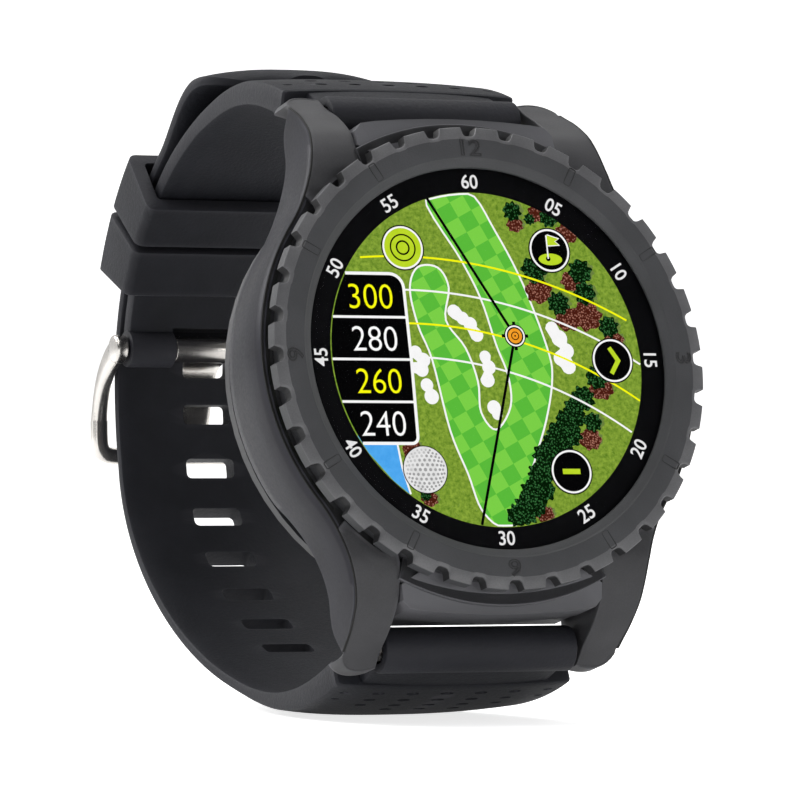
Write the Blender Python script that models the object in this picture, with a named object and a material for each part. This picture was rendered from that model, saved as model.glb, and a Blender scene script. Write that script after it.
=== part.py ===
"""Golf GPS watch on its closed strap loop, modelled as separate pieces.

Watch axes, before the lean: +X towards 3 o'clock, +Y into the wrist, +Z towards 12 o'clock,
with the display surface at Y = 0 and its centre on the Y axis. An empty leans the watch back
and stands it on the floor, centred over the origin. Lengths are in metres.
"""
import math

import bmesh
import bpy
from mathutils import Matrix, Vector

MM = 0.001
GAP = 0.3 * MM                      # clearance between pieces that touch

# Stance
LEAN = math.radians(13.9)           # the face leans back by this much

# Display stack
DISPLAY_RADIUS = 17.35 * MM
DISPLAY_DEPTH = 1.6 * MM
DIAL_RING_WIDTH = 3.15 * MM
DIAL_RING_DEPTH = 0.5 * MM
GLASS_RADIUS = 19.65 * MM
GLASS_DEPTH = 0.7 * MM
GASKET_WIDTH = 1.7 * MM
GASKET_DEPTH = 1.2 * MM

# Bezel
BEZEL_RADIUS = 24.2 * MM
BEZEL_BASE_Y = 2.0 * MM             # rear of the bezel
BEZEL_LIP = 0.9 * MM                # height of the lip that holds the glass
BEZEL_NOTCHES = 36
NOTCH_DEPTH = 1.1 * MM
NOTCH_HALF_ANGLE = math.radians(2.6)
NOTCH_FLOOR_HALF_ANGLE = math.radians(1.2)

# Mid case
CASE_RADIUS = 24.5 * MM
CASE_REAR_RADIUS = 23.6 * MM
CASE_BORE = 21.2 * MM
CASE_DEPTH = 9.9 * MM               # from the bezel seat to the rear face
SHELF_WIDTH = 2.3 * MM
SHELF_DEPTH = 0.6 * MM

# Lugs
LUG_GAP = 22.3 * MM                 # between the inner faces of a pair of lugs
LUG_WIDTH = 4.6 * MM                # of one lug at its tip
LUG_BAR_REACH = 3.5 * MM            # bar axis beyond the case wall
LUG_TIP = 2.5 * MM                  # lug material beyond the bar axis
LUG_BAR_SETBACK = 2.2 * MM          # bar axis in front of the rear face
PLATE_OVERHANG = 0.5 * MM           # end plate beyond the case wall
LUG_INSET = 0.1 * MM                # lug faces below the front and rear faces of the case

# Rear cover
COVER_RADIUS = 23.2 * MM
COVER_DEPTH = 2.1 * MM
COVER_SPIGOT = 1.3 * MM
COVER_SKIRT = 0.7 * MM
SEAL_WIDTH = 1.0 * MM
SEAL_DEPTH = 0.5 * MM
SCREW_COUNT = 4
SCREW_CIRCLE = 17.4 * MM
SCREW_ANGLE = math.radians(30.0)
SCREW_HEAD_RADIUS = 1.25 * MM
SCREW_HEAD_DEPTH = 0.9 * MM
SCREW_SHANK_RADIUS = 0.7 * MM
SCREW_LENGTH = 5.6 * MM
BOSS_WALL = 0.75 * MM
CONTACT_COUNT = 4
CONTACT_PITCH = 2.8 * MM
CONTACT_RADIUS = 0.8 * MM
CONTACT_HEAD = 1.15 * MM

# Inside
FRAME_WALL = 1.5 * MM
FRAME_FLOOR = 0.7 * MM
BOARD_RADIUS = 15.3 * MM
BOARD_DEPTH = 0.8 * MM
BATTERY_SIZE = (19.6 * MM, 4.4 * MM, 16.6 * MM)
ANTENNA_SIZE = (9.0 * MM, 2.0 * MM, 9.0 * MM)
SHIELD_SIZE = (5.0 * MM, 1.4 * MM, 5.0 * MM)
MOTOR_RADIUS = 3.4 * MM
MOTOR_DEPTH = 2.6 * MM
SWITCH_SIZE = (2.8 * MM, 2.8 * MM, 4.0 * MM)

# Side button at 3 o'clock
BUTTON_LENGTH = 9.0 * MM
BUTTON_HEIGHT = 3.4 * MM
BUTTON_PROUD = 0.9 * MM
BUTTON_DEPTH = 2.1 * MM
BUTTON_TRAVEL = 0.6 * MM
STEM_RADIUS = 0.9 * MM
STEM_SEAL_WIDTH = 0.7 * MM
STEM_SEAL_DEPTH = 0.5 * MM

# Spring bars in the lugs
BAR_RADIUS = 1.1 * MM
BAR_BORE = 0.75 * MM
BAR_PIN_RADIUS = 0.45 * MM
BAR_PIN_REACH = 1.5 * MM            # pin inside the lug
BAR_PIN_HIDDEN = 3.6 * MM           # pin inside the tube
BAR_PIN_TRAVEL = 1.5 * MM
BAR_SPRING_WIRE = 0.12 * MM
BAR_SPRING_TURNS = 4

# Strap
STRAP_LUG_WIDTH = 26.8 * MM
STRAP_WIDTH = 21.6 * MM
STRAP_LUG_THICKNESS = 3.4 * MM
STRAP_THICKNESS = 2.4 * MM
TAIL_THICKNESS = 2.2 * MM
STRAP_EDGE = 0.5 * MM
STRAP_HUB_WALL = 0.95 * MM
HUB_STEP = 0.15 * MM                # hub ends stand proud of the strap's sides
SHOULDER_DISTANCE = 5.2 * MM        # lug bar to where the strap widens
TAPER_LENGTH = 34.0 * MM
SLOT_PITCH = 6.2 * MM
SLOT_COUNT = 8
SLOT_WIDTH = 5.8 * MM
SLOT_LENGTH = 2.2 * MM
SLOT_IN_USE_LENGTH = 4.0 * MM

# Strap loop: a round stretch on which the keepers sit, and the curves that lead to it
LOOP_DEPTH = 28.6 * MM              # lug bar to the centre of the round stretch
LOOP_RISE = 6.5 * MM                # centre of the round stretch above the watch's centre
LOOP_RADIUS = 30.2 * MM             # of the buckle half's centre line
LOOP_FLOOR_DROP = 37.0 * MM         # steers how low the lower half hangs
ARC_TOP = math.radians(88.0)
ARC_BUCKLE = math.radians(22.5)
ARC_TAIL_LOW = math.radians(25.0)
ARC_TAIL_HIGH = math.radians(65.5)

# Keepers on the round stretch
KEEPER_WALL = 1.5 * MM
KEEPER_CLEARANCE = 0.35 * MM
KEEPER_ANGLE = math.radians(11.6)
FIXED_KEEPER_START = math.radians(35.8)
SLIDING_KEEPER_START = math.radians(48.6)

# Buckle
BUCKLE_BAR_RADIUS = 0.8 * MM
BUCKLE_ARM = 1.4 * MM               # width of one side arm
BUCKLE_EYE_WALL = 0.1 * MM          # of the arms round the buckle bar
BUCKLE_REACH = Vector((0.0, 8.2 * MM, -10.3 * MM))
BUCKLE_BOW = Vector((0.0, 6.8 * MM, -1.0 * MM))
BUCKLE_END_BAR = 2.2 * MM
TONGUE_WIDTH = 5.0 * MM
TONGUE_THICKNESS = 1.0 * MM
TONGUE_WALL = 0.4 * MM
TONGUE_BARREL_WIDTH = 10.6 * MM     # the tongue's barrel round the buckle bar

# Sizes that follow from the ones above
GLASS_REAR_Y = -GAP
GLASS_FRONT_Y = GLASS_REAR_Y - GLASS_DEPTH
BEZEL_FRONT_Y = GLASS_REAR_Y - BEZEL_LIP
CASE_FRONT_Y = BEZEL_BASE_Y + GAP
CASE_REAR_Y = CASE_FRONT_Y + CASE_DEPTH
FRAME_RADIUS = CASE_BORE - GAP
FRAME_FRONT_Y = CASE_FRONT_Y + SHELF_DEPTH + GAP
COVER_FRONT_Y = CASE_REAR_Y + GAP
COVER_REAR_Y = COVER_FRONT_Y + COVER_DEPTH
SPIGOT_Y = COVER_FRONT_Y - COVER_SPIGOT
FRAME_REAR_Y = SPIGOT_Y - GAP
BOARD_Y = FRAME_FRONT_Y + FRAME_FLOOR + GAP
PARTS_Y = BOARD_Y + BOARD_DEPTH + GAP
BUTTON_Y = PARTS_Y + SWITCH_SIZE[1] / 2 + GAP
LUG_BAR_Y = CASE_REAR_Y - LUG_BAR_SETBACK
LUG_BAR_Z = CASE_RADIUS + LUG_BAR_REACH
LOOP_CENTRE = Vector((0.0, LUG_BAR_Y + LOOP_DEPTH, LOOP_RISE))
TAIL_RADIUS = LOOP_RADIUS + STRAP_THICKNESS / 2 + GAP + 0.1 * MM + TAIL_THICKNESS / 2
STRAP_HUB_RADIUS = BAR_RADIUS + GAP + STRAP_HUB_WALL
BUCKLE_HUB_RADIUS = BUCKLE_BAR_RADIUS + GAP + STRAP_HUB_WALL
BUCKLE_BAR_RADIUS_ON_LOOP = TAIL_RADIUS - TAIL_THICKNESS / 2 - GAP - BUCKLE_HUB_RADIUS
BUCKLE_INNER = STRAP_WIDTH + 2 * GAP
BUCKLE_THICKNESS = 2 * (BUCKLE_BAR_RADIUS + GAP + BUCKLE_EYE_WALL)

CYLINDER_SIDES = 20
ROUND_SIDES = 60
SIDE_PHASE = 0.37                   # turns small holes so that no corner meets another edge


def clear_scene():
    """Remove every object of the starting scene."""
    for old in list(bpy.data.objects):
        bpy.data.objects.remove(old, do_unlink=True)


def material(name, colour, roughness, metallic=0.0):
    """A Principled material of its own for one piece."""
    made = bpy.data.materials.new(name)
    made.use_nodes = True
    shader = made.node_tree.nodes["Principled BSDF"]
    shader.inputs["Base Color"].default_value = (*colour, 1.0)
    shader.inputs["Roughness"].default_value = roughness
    shader.inputs["Metallic"].default_value = metallic
    return made


RUBBER = ((0.016, 0.017, 0.020), 0.62, 0.0)
CASE_PLASTIC = ((0.045, 0.046, 0.050), 0.42, 0.0)
BLACK_PLASTIC = ((0.010, 0.010, 0.011), 0.35, 0.0)
GLASS = ((0.02, 0.02, 0.02), 0.05, 0.0)
SCREEN = ((0.10, 0.35, 0.05), 0.25, 0.0)
STEEL = ((0.62, 0.61, 0.59), 0.22, 1.0)
GOLD = ((0.83, 0.62, 0.25), 0.25, 1.0)
BOARD_GREEN = ((0.02, 0.18, 0.07), 0.45, 0.0)
CERAMIC = ((0.72, 0.68, 0.58), 0.55, 0.0)
CELL_SILVER = ((0.55, 0.56, 0.58), 0.35, 0.8)


def add_object(name, bm, finish, origin=Vector((0.0, 0.0, 0.0)), smooth=True):
    """Turn a bmesh in watch axes into an object with its origin at the given point."""
    bmesh.ops.recalc_face_normals(bm, faces=bm.faces)
    bmesh.ops.translate(bm, verts=bm.verts, vec=-origin)
    mesh = bpy.data.meshes.new(name)
    bm.to_mesh(mesh)
    bm.free()
    if smooth:
        mesh.shade_smooth()
        mesh.set_sharp_from_angle(angle=math.radians(35.0))
    obj = bpy.data.objects.new(name, mesh)
    obj.location = origin
    bpy.context.collection.objects.link(obj)
    obj.parent = STAND
    if finish is None:
        obj.hide_render = True
        obj.display_type = "WIRE"
    else:
        mesh.materials.append(material(name + "_finish", *finish))
    return obj


def boolean(obj, tool, operation):
    """Join or cut an object with a hidden tool object."""
    modifier = obj.modifiers.new(tool.name, "BOOLEAN")
    modifier.operation = operation
    modifier.solver = "EXACT"
    modifier.object = tool


def cut(obj, tool):
    boolean(obj, tool, "DIFFERENCE")


def join(obj, tool):
    boolean(obj, tool, "UNION")


def bridge_rings(bm, rings, closed):
    """Faces between neighbouring rings of vertices, wrapping round when closed."""
    count = len(rings)
    last = count if closed else count - 1
    for i in range(last):
        a = rings[i]
        b = rings[(i + 1) % count]
        sides = len(a)
        for j in range(sides):
            k = (j + 1) % sides
            corners = []
            for vert in (a[j], a[k], b[k], b[j]):
                if vert not in corners:
                    corners.append(vert)
            if len(corners) > 2:
                bm.faces.new(corners)


def turned(profile, angles=None, inset=None):
    """Turn a closed profile of (radius, y) points about the Y axis.

    inset(angle, radius) gives how far a point moves inwards at an angle.
    """
    if angles is None:
        angles = [2 * math.pi * i / ROUND_SIDES for i in range(ROUND_SIDES)]
    bm = bmesh.new()
    on_axis = {i: bm.verts.new((0.0, y, 0.0)) for i, (r, y) in enumerate(profile) if r == 0.0}
    rings = []
    for angle in angles:
        ring = []
        for i, (radius, y) in enumerate(profile):
            if i in on_axis:
                ring.append(on_axis[i])
                continue
            r = radius - (inset(angle, radius) if inset else 0.0)
            ring.append(bm.verts.new((r * math.sin(angle), y, r * math.cos(angle))))
        rings.append(ring)
    count = len(rings)
    sides = len(profile)
    for i in range(count):
        a = rings[i]
        b = rings[(i + 1) % count]
        for j in range(sides):
            k = (j + 1) % sides
            if j in on_axis and k in on_axis:
                continue
            corners = []
            for vert in (a[j], a[k], b[k], b[j]):
                if vert not in corners:
                    corners.append(vert)
            bm.faces.new(corners)
    return bm


def turned_at(profile, sides, centre, along):
    """Turn a closed profile about an axis through a point, along +X or +Y."""
    bm = turned(profile, [2 * math.pi * (i + SIDE_PHASE) / sides for i in range(sides)])
    if along == "X":
        bmesh.ops.rotate(bm, verts=bm.verts, matrix=Matrix.Rotation(-math.pi / 2, 3, "Z"))
    bmesh.ops.translate(bm, verts=bm.verts, vec=centre)
    return bm


def cylinder(centre, radius, low, high, along="X", sides=CYLINDER_SIDES):
    """A round bar between two distances along its axis."""
    profile = [(0.0, low), (radius, low), (radius, high), (0.0, high)]
    return turned_at(profile, sides, centre, along)


def tube(centre, radius, bore, low, high, along="X", sides=CYLINDER_SIDES):
    """A hollow bar between two distances along its axis."""
    profile = [(bore, low), (radius, low), (radius, high), (bore, high)]
    return turned_at(profile, sides, centre, along)


def block(centre, size, bevel=0.0):
    """A box with bevelled edges."""
    bm = bmesh.new()
    bmesh.ops.create_cube(bm, size=1.0)
    bmesh.ops.scale(bm, verts=bm.verts, vec=size)
    if bevel:
        bmesh.ops.bevel(bm, geom=bm.edges[:], offset=bevel, segments=1, affect="EDGES")
    bmesh.ops.translate(bm, verts=bm.verts, vec=centre)
    return bm


def prism(outline, low, high, axis):
    """Extrude a closed outline: (x, z) points along Y, or (y, z) points along X."""
    bm = bmesh.new()
    ends = []
    for level in (low, high):
        if axis == "Y":
            ends.append([bm.verts.new((a, level, b)) for a, b in outline])
        else:
            ends.append([bm.verts.new((level, a, b)) for a, b in outline])
    bm.faces.new(ends[0])
    bm.faces.new(ends[1])
    bridge_rings(bm, [ends[0], ends[1]], closed=False)
    return bm


def bezier(a, b, c, d, count):
    """Points on a cubic curve, without its last point."""
    points = []
    for i in range(count):
        t = i / count
        s = 1.0 - t
        points.append(a * s ** 3 + b * (3 * s * s * t) + c * (3 * s * t * t) + d * t ** 3)
    return points


def on_loop(radius, angle):
    """A point of a circle about the centre of the strap's round stretch."""
    return LOOP_CENTRE + Vector((0.0, math.cos(angle), math.sin(angle))) * radius


def loop_tangent(angle):
    """Direction of growing angle on that circle."""
    return Vector((0.0, -math.sin(angle), math.cos(angle)))


def arc(radius, start, end, count):
    """Points on the round stretch, with both ends."""
    return [on_loop(radius, start + (end - start) * i / count) for i in range(count + 1)]


def path_lengths(path):
    """Distance along a path at each of its points."""
    lengths = [0.0]
    for a, b in zip(path, path[1:]):
        lengths.append(lengths[-1] + (b - a).length)
    return lengths


def at_distance(path, distance):
    """Point and direction at a distance along a path."""
    lengths = path_lengths(path)
    for i in range(len(path) - 1):
        if lengths[i + 1] >= distance or i == len(path) - 2:
            step = path[i + 1] - path[i]
            share = (distance - lengths[i]) / step.length
            return path[i] + step * share, step.normalized()


def path_normal(direction):
    """Unit normal of a direction in the YZ plane, on its left seen from +X."""
    return Vector((0.0, -direction.z, direction.y))


def ribbon(path, stations):
    """Sweep a bevelled flat section along a path in the YZ plane.

    stations lists (point, direction, half width, thickness, edge bevel).
    """
    bm = bmesh.new()
    rings = []
    for point, direction, half, thickness, edge in stations:
        normal = path_normal(direction)
        h = thickness / 2
        corners = [(half, -h + edge), (half, h - edge), (half - edge, h), (edge - half, h),
                   (-half, h - edge), (-half, -h + edge), (edge - half, -h), (half - edge, -h)]
        ring = [bm.verts.new(point + normal * v + Vector((u, 0.0, 0.0))) for u, v in corners]
        rings.append(ring)
    bridge_rings(bm, rings, closed=False)
    bm.faces.new(rings[0])
    bm.faces.new(rings[-1])
    return bm


def smooth_directions(path):
    """Direction at each point of a path, averaged over its neighbours."""
    directions = []
    for i in range(len(path)):
        a = path[max(i - 1, 0)]
        b = path[min(i + 1, len(path) - 1)]
        directions.append((b - a).normalized())
    return directions


def strap_stations(path, tab_half, width_at, thickness_at):
    """Stations of a strap half: a narrow tab at the lugs, then the widening shoulder."""
    lengths = path_lengths(path)
    directions = smooth_directions(path)
    shoulder_point, shoulder_direction = at_distance(path, SHOULDER_DISTANCE)
    stations = []
    shoulder_done = False
    for point, direction, length in zip(path, directions, lengths):
        if not shoulder_done and length >= SHOULDER_DISTANCE - 0.5 * MM:
            thick = thickness_at(SHOULDER_DISTANCE)
            for half, depth in ((tab_half, thick - 2 * HUB_STEP),
                                (width_at(SHOULDER_DISTANCE) / 2, thick)):
                stations.append((shoulder_point, shoulder_direction, half, depth, STRAP_EDGE))
            shoulder_done = True
            if length <= SHOULDER_DISTANCE + 0.8 * MM:
                continue
        half = width_at(length) / 2 if shoulder_done else tab_half
        depth = thickness_at(length) - (0.0 if shoulder_done else 2 * HUB_STEP)
        stations.append((point, direction, half, depth, STRAP_EDGE))
    return stations


def strap_width(length):
    """Strap width at a distance from the lug bar."""
    share = min(max((length - SHOULDER_DISTANCE) / TAPER_LENGTH, 0.0), 1.0)
    share = share * share * (3 - 2 * share)
    return STRAP_LUG_WIDTH + (STRAP_WIDTH - STRAP_LUG_WIDTH) * share


def strap_thickness(end_thickness):
    """Strap thickness as a function of the distance from the lug bar."""
    def at(length):
        share = min(length / TAPER_LENGTH, 1.0)
        return STRAP_LUG_THICKNESS + (end_thickness - STRAP_LUG_THICKNESS) * share
    return at


# The case

def bezel_ring():
    lip_radius = GLASS_RADIUS + GAP
    seat_radius = max(CASE_BORE - 0.1 * MM, DISPLAY_RADIUS + GAP + DIAL_RING_WIDTH + GAP)
    front = BEZEL_FRONT_Y
    profile = [(lip_radius, GLASS_REAR_Y), (lip_radius, front + 0.4 * MM),
               (lip_radius + 0.5 * MM, front), (BEZEL_RADIUS - 1.3 * MM, front + 0.15 * MM),
               (BEZEL_RADIUS - 0.3 * MM, front + 0.7 * MM), (BEZEL_RADIUS, front + 1.4 * MM),
               (BEZEL_RADIUS, BEZEL_BASE_Y), (seat_radius, BEZEL_BASE_Y),
               (seat_radius, GLASS_REAR_Y)]
    pitch = 2 * math.pi / BEZEL_NOTCHES
    offsets = (-NOTCH_HALF_ANGLE, -NOTCH_FLOOR_HALF_ANGLE,
               NOTCH_FLOOR_HALF_ANGLE, NOTCH_HALF_ANGLE)
    angles = [i * pitch + offset for i in range(BEZEL_NOTCHES) for offset in offsets]

    def inset(angle, radius):
        from_notch = abs((angle + pitch / 2) % pitch - pitch / 2)
        in_notch = from_notch < (NOTCH_HALF_ANGLE + NOTCH_FLOOR_HALF_ANGLE) / 2
        return NOTCH_DEPTH if in_notch and radius > BEZEL_RADIUS - 1.0 * MM else 0.0

    return add_object("bezel_ring", turned(profile, angles, inset), CASE_PLASTIC)


def front_glass():
    edge = 0.2 * MM
    profile = [(0.0, GLASS_FRONT_Y), (GLASS_RADIUS - edge, GLASS_FRONT_Y),
               (GLASS_RADIUS, GLASS_FRONT_Y + edge), (GLASS_RADIUS, GLASS_REAR_Y),
               (0.0, GLASS_REAR_Y)]
    return add_object("front_glass", turned(profile), GLASS)


def dial_ring():
    bore = DISPLAY_RADIUS + GAP
    rim = bore + DIAL_RING_WIDTH
    profile = [(bore, 0.0), (rim, 0.0), (rim, DIAL_RING_DEPTH), (bore, DIAL_RING_DEPTH)]
    return add_object("dial_ring", turned(profile), BLACK_PLASTIC)


def display_panel():
    profile = [(0.0, 0.0), (DISPLAY_RADIUS, 0.0), (DISPLAY_RADIUS, DISPLAY_DEPTH),
               (0.0, DISPLAY_DEPTH)]
    return add_object("display_panel", turned(profile), SCREEN)


def display_gasket():
    rim = DISPLAY_RADIUS + GAP + DIAL_RING_WIDTH
    front = DIAL_RING_DEPTH + GAP
    rear = min(front + GASKET_DEPTH, CASE_FRONT_Y - GAP)
    profile = [(rim - GASKET_WIDTH, front), (rim, front), (rim, rear), (rim - GASKET_WIDTH, rear)]
    return add_object("display_gasket", turned(profile), RUBBER)


def lug_pair(sign):
    """Both lugs of one end with the plate between them, as a tool for the mid case."""
    inner = LUG_GAP / 2
    tip = LUG_BAR_Z + LUG_TIP
    plate = CASE_RADIUS + PLATE_OVERHANG
    tip_width = inner + LUG_WIDTH
    root = CASE_RADIUS * 0.46
    right = [(inner, plate), (inner, tip), (tip_width - 1.4 * MM, tip),
             (tip_width - 0.3 * MM, tip - 1.2 * MM), (tip_width + 0.3 * MM, tip - 4.0 * MM),
             (tip_width + 1.6 * MM, plate - 2.6 * MM), (CASE_RADIUS * 0.79, CASE_RADIUS * 0.6),
             (CASE_RADIUS * 0.87, root)]
    left = [(-x, z) for x, z in reversed(right)]
    plan = [(x, z * sign) for x, z in left + right]
    plan_tool = prism(plan, CASE_FRONT_Y - MM, CASE_REAR_Y + 2 * MM, "Y")
    solid = add_object("lug_plan_" + ("upper" if sign > 0 else "lower"), plan_tool, None)
    front = CASE_FRONT_Y + LUG_INSET
    rear = CASE_REAR_Y - LUG_INSET
    bar_y = LUG_BAR_Y
    side = [(front, root - 1.0 * MM), (front, CASE_RADIUS - 2.6 * MM),
            (front + 1.1 * MM, plate - 0.2 * MM),
            ((front + bar_y) / 2, (plate + tip) / 2 - 0.4 * MM), (bar_y - 1.9 * MM, tip - 0.9 * MM),
            (bar_y, tip), (bar_y + 1.8 * MM, tip - 0.2 * MM), (bar_y + 2.5 * MM, tip - 1.6 * MM),
            (rear, plate), (rear, root - 1.0 * MM)]
    reach = CASE_RADIUS + 5 * MM
    side_tool = prism([(y, z * sign) for y, z in side], -reach, reach, "X")
    trim = add_object("lug_side_" + ("upper" if sign > 0 else "lower"), side_tool, None)
    boolean(solid, trim, "INTERSECT")
    return solid


def mid_case():
    barrel = [(0.0, CASE_FRONT_Y), (CASE_RADIUS - 0.2 * MM, CASE_FRONT_Y),
              (CASE_RADIUS, CASE_FRONT_Y + 0.6 * MM), (CASE_RADIUS, CASE_FRONT_Y + CASE_DEPTH * 0.6),
              (CASE_REAR_RADIUS, CASE_REAR_Y), (0.0, CASE_REAR_Y)]
    case = add_object("mid_case", turned(barrel), CASE_PLASTIC)
    for sign in (1, -1):
        join(case, lug_pair(sign))
    centre = Vector((0.0, 0.0, 0.0))
    shelf_rear = CASE_FRONT_Y + SHELF_DEPTH
    bore = cylinder(centre, CASE_BORE, shelf_rear, CASE_REAR_Y + 2 * MM, "Y", ROUND_SIDES)
    cut(case, add_object("case_bore", bore, None))
    opening = cylinder(centre, CASE_BORE - SHELF_WIDTH, CASE_FRONT_Y - 2 * MM, shelf_rear + MM,
                       "Y", ROUND_SIDES)
    cut(case, add_object("display_opening", opening, None))
    for sign, where in ((1, "upper"), (-1, "lower")):
        axis = Vector((0.0, LUG_BAR_Y, sign * LUG_BAR_Z))
        reach = LUG_GAP / 2 + BAR_PIN_REACH + GAP
        hole = cylinder(axis, BAR_PIN_RADIUS + GAP, -reach, reach, "X", 12)
        cut(case, add_object("bar_hole_" + where, hole, None))
    button_axis = Vector((0.0, BUTTON_Y, 0.0))
    stem = STEM_RADIUS + GAP
    pocket = stem + STEM_SEAL_WIDTH + GAP
    pocket_x = CASE_BORE + STEM_SEAL_DEPTH + GAP
    profile = [(0.0, CASE_BORE / 2), (pocket, CASE_BORE / 2), (pocket, pocket_x),
               (stem, pocket_x), (stem, CASE_RADIUS + MM), (0.0, CASE_RADIUS + MM)]
    cut(case, add_object("stem_hole", turned_at(profile, 14, button_axis, "X"), None))
    floor_x = CASE_RADIUS + BUTTON_PROUD - BUTTON_DEPTH - BUTTON_TRAVEL
    pocket = block(Vector((floor_x + 4 * MM, BUTTON_Y, 0.0)),
                   (8 * MM, BUTTON_HEIGHT + 2 * GAP, BUTTON_LENGTH + 2 * GAP))
    cut(case, add_object("button_pocket", pocket, None))
    return case


def case_back():
    spigot = CASE_BORE - GAP
    rim = COVER_RADIUS
    skirt = rim - COVER_SKIRT
    seal_floor = COVER_FRONT_Y + SEAL_DEPTH + GAP
    profile = [(0.0, COVER_REAR_Y), (rim - 3.2 * MM, COVER_REAR_Y),
               (rim - 0.4 * MM, COVER_REAR_Y - 0.5 * MM), (rim, COVER_REAR_Y - 1.0 * MM),
               (rim, COVER_FRONT_Y), (skirt, COVER_FRONT_Y), (skirt, seal_floor),
               (spigot, seal_floor), (spigot, SPIGOT_Y), (0.0, SPIGOT_Y)]
    cover = add_object("case_back", turned(profile), CASE_PLASTIC)
    for i, (x, z) in enumerate(screw_places()):
        head_y = COVER_REAR_Y - SCREW_HEAD_DEPTH
        profile = [(0.0, SPIGOT_Y - MM), (SCREW_SHANK_RADIUS + GAP, SPIGOT_Y - MM),
                   (SCREW_SHANK_RADIUS + GAP, head_y - GAP), (SCREW_HEAD_RADIUS + GAP, head_y - GAP),
                   (SCREW_HEAD_RADIUS + GAP, COVER_REAR_Y + MM), (0.0, COVER_REAR_Y + MM)]
        hole = turned_at(profile, 12, Vector((x, 0.0, z)), "Y")
        cut(cover, add_object("screw_hole_%d" % (i + 1), hole, None))
    for i, (x, z) in enumerate(contact_places()):
        hole = cylinder(Vector((x, 0.0, z)), CONTACT_RADIUS + GAP, SPIGOT_Y - MM,
                        COVER_REAR_Y + MM, "Y", 12)
        cut(cover, add_object("contact_hole_%d" % (i + 1), hole, None))
    return cover


def back_gasket():
    bore = CASE_BORE
    profile = [(bore + 0.05 * MM, COVER_FRONT_Y), (bore + SEAL_WIDTH, COVER_FRONT_Y),
               (bore + SEAL_WIDTH, COVER_FRONT_Y + SEAL_DEPTH),
               (bore + 0.05 * MM, COVER_FRONT_Y + SEAL_DEPTH)]
    return add_object("back_gasket", turned(profile), RUBBER)


def screw_places():
    """Centres (x, z) of the cover screws."""
    places = []
    for x_sign, z_sign in ((1, 1), (-1, 1), (-1, -1), (1, -1)):
        places.append((x_sign * SCREW_CIRCLE * math.cos(SCREW_ANGLE),
                       z_sign * SCREW_CIRCLE * math.sin(SCREW_ANGLE)))
    return places


def contact_places():
    """Centres (x, z) of the charging contacts."""
    row_z = -0.45 * SCREW_CIRCLE
    first = -CONTACT_PITCH * (CONTACT_COUNT - 1) / 2
    return [(first + CONTACT_PITCH * i, row_z) for i in range(CONTACT_COUNT)]


def cover_screws():
    head_y = COVER_REAR_Y - SCREW_HEAD_DEPTH
    tip_y = head_y - SCREW_LENGTH
    for i, (x, z) in enumerate(screw_places()):
        rear = COVER_REAR_Y - 0.1 * MM
        profile = [(0.0, tip_y), (SCREW_SHANK_RADIUS, tip_y), (SCREW_SHANK_RADIUS, head_y),
                   (SCREW_HEAD_RADIUS, head_y), (SCREW_HEAD_RADIUS, rear - 0.15 * MM),
                   (SCREW_HEAD_RADIUS - 0.15 * MM, rear), (0.0, rear)]
        screw = turned_at(profile, 12, Vector((x, 0.0, z)), "Y")
        obj = add_object("case_screw_%d" % (i + 1), screw, STEEL)
        slot_size = (2 * SCREW_HEAD_RADIUS + MM, 0.7 * MM, 0.35 * MM)
        slot = block(Vector((x, rear, z)), slot_size)
        cut(obj, add_object("screw_slot_%d" % (i + 1), slot, None))


def charging_contacts():
    for i, (x, z) in enumerate(contact_places()):
        inner_y = SPIGOT_Y - 0.1 * MM
        rear = COVER_REAR_Y - 0.15 * MM
        profile = [(0.0, inner_y), (CONTACT_RADIUS, inner_y), (CONTACT_RADIUS, rear - 0.2 * MM),
                   (CONTACT_RADIUS - 0.2 * MM, rear), (0.0, rear)]
        pin = turned_at(profile, 12, Vector((x, 0.0, z)), "Y")
        add_object("charging_contact_%d" % (i + 1), pin, GOLD)


# Inside the case

def inner_frame():
    bore = FRAME_RADIUS - FRAME_WALL
    floor_rear = FRAME_FRONT_Y + FRAME_FLOOR
    profile = [(0.0, FRAME_FRONT_Y), (FRAME_RADIUS, FRAME_FRONT_Y), (FRAME_RADIUS, FRAME_REAR_Y),
               (bore, FRAME_REAR_Y), (bore, floor_rear), (0.0, floor_rear)]
    frame = add_object("inner_frame", turned(profile), BLACK_PLASTIC)
    boss_radius = SCREW_SHANK_RADIUS + GAP + BOSS_WALL
    for i, (x, z) in enumerate(screw_places()):
        boss = cylinder(Vector((x, 0.0, z)), boss_radius, floor_rear - 0.2 * MM,
                        FRAME_REAR_Y - 0.2 * MM, "Y", 14)
        join(frame, add_object("boss_%d" % (i + 1), boss, None))
    for i, (x, z) in enumerate(screw_places()):
        tip_y = COVER_REAR_Y - SCREW_HEAD_DEPTH - SCREW_LENGTH - GAP
        hole = cylinder(Vector((x, 0.0, z)), SCREW_SHANK_RADIUS + GAP, tip_y,
                        FRAME_REAR_Y + MM, "Y", 12)
        cut(frame, add_object("boss_hole_%d" % (i + 1), hole, None))
    stem = cylinder(Vector((0.0, BUTTON_Y, 0.0)), STEM_RADIUS + GAP, bore - MM,
                    FRAME_RADIUS + MM, "X", 12)
    cut(frame, add_object("frame_stem_hole", stem, None))
    return frame


def main_board():
    centre = Vector((0.0, 0.0, 0.0))
    disc = cylinder(centre, BOARD_RADIUS, BOARD_Y, BOARD_Y + BOARD_DEPTH, "Y", 40)
    return add_object("main_board", disc, BOARD_GREEN)


def on_board(x, z, size):
    """Centre of a part that stands on the board."""
    return Vector((x, PARTS_Y + size[1] / 2, z))


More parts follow.
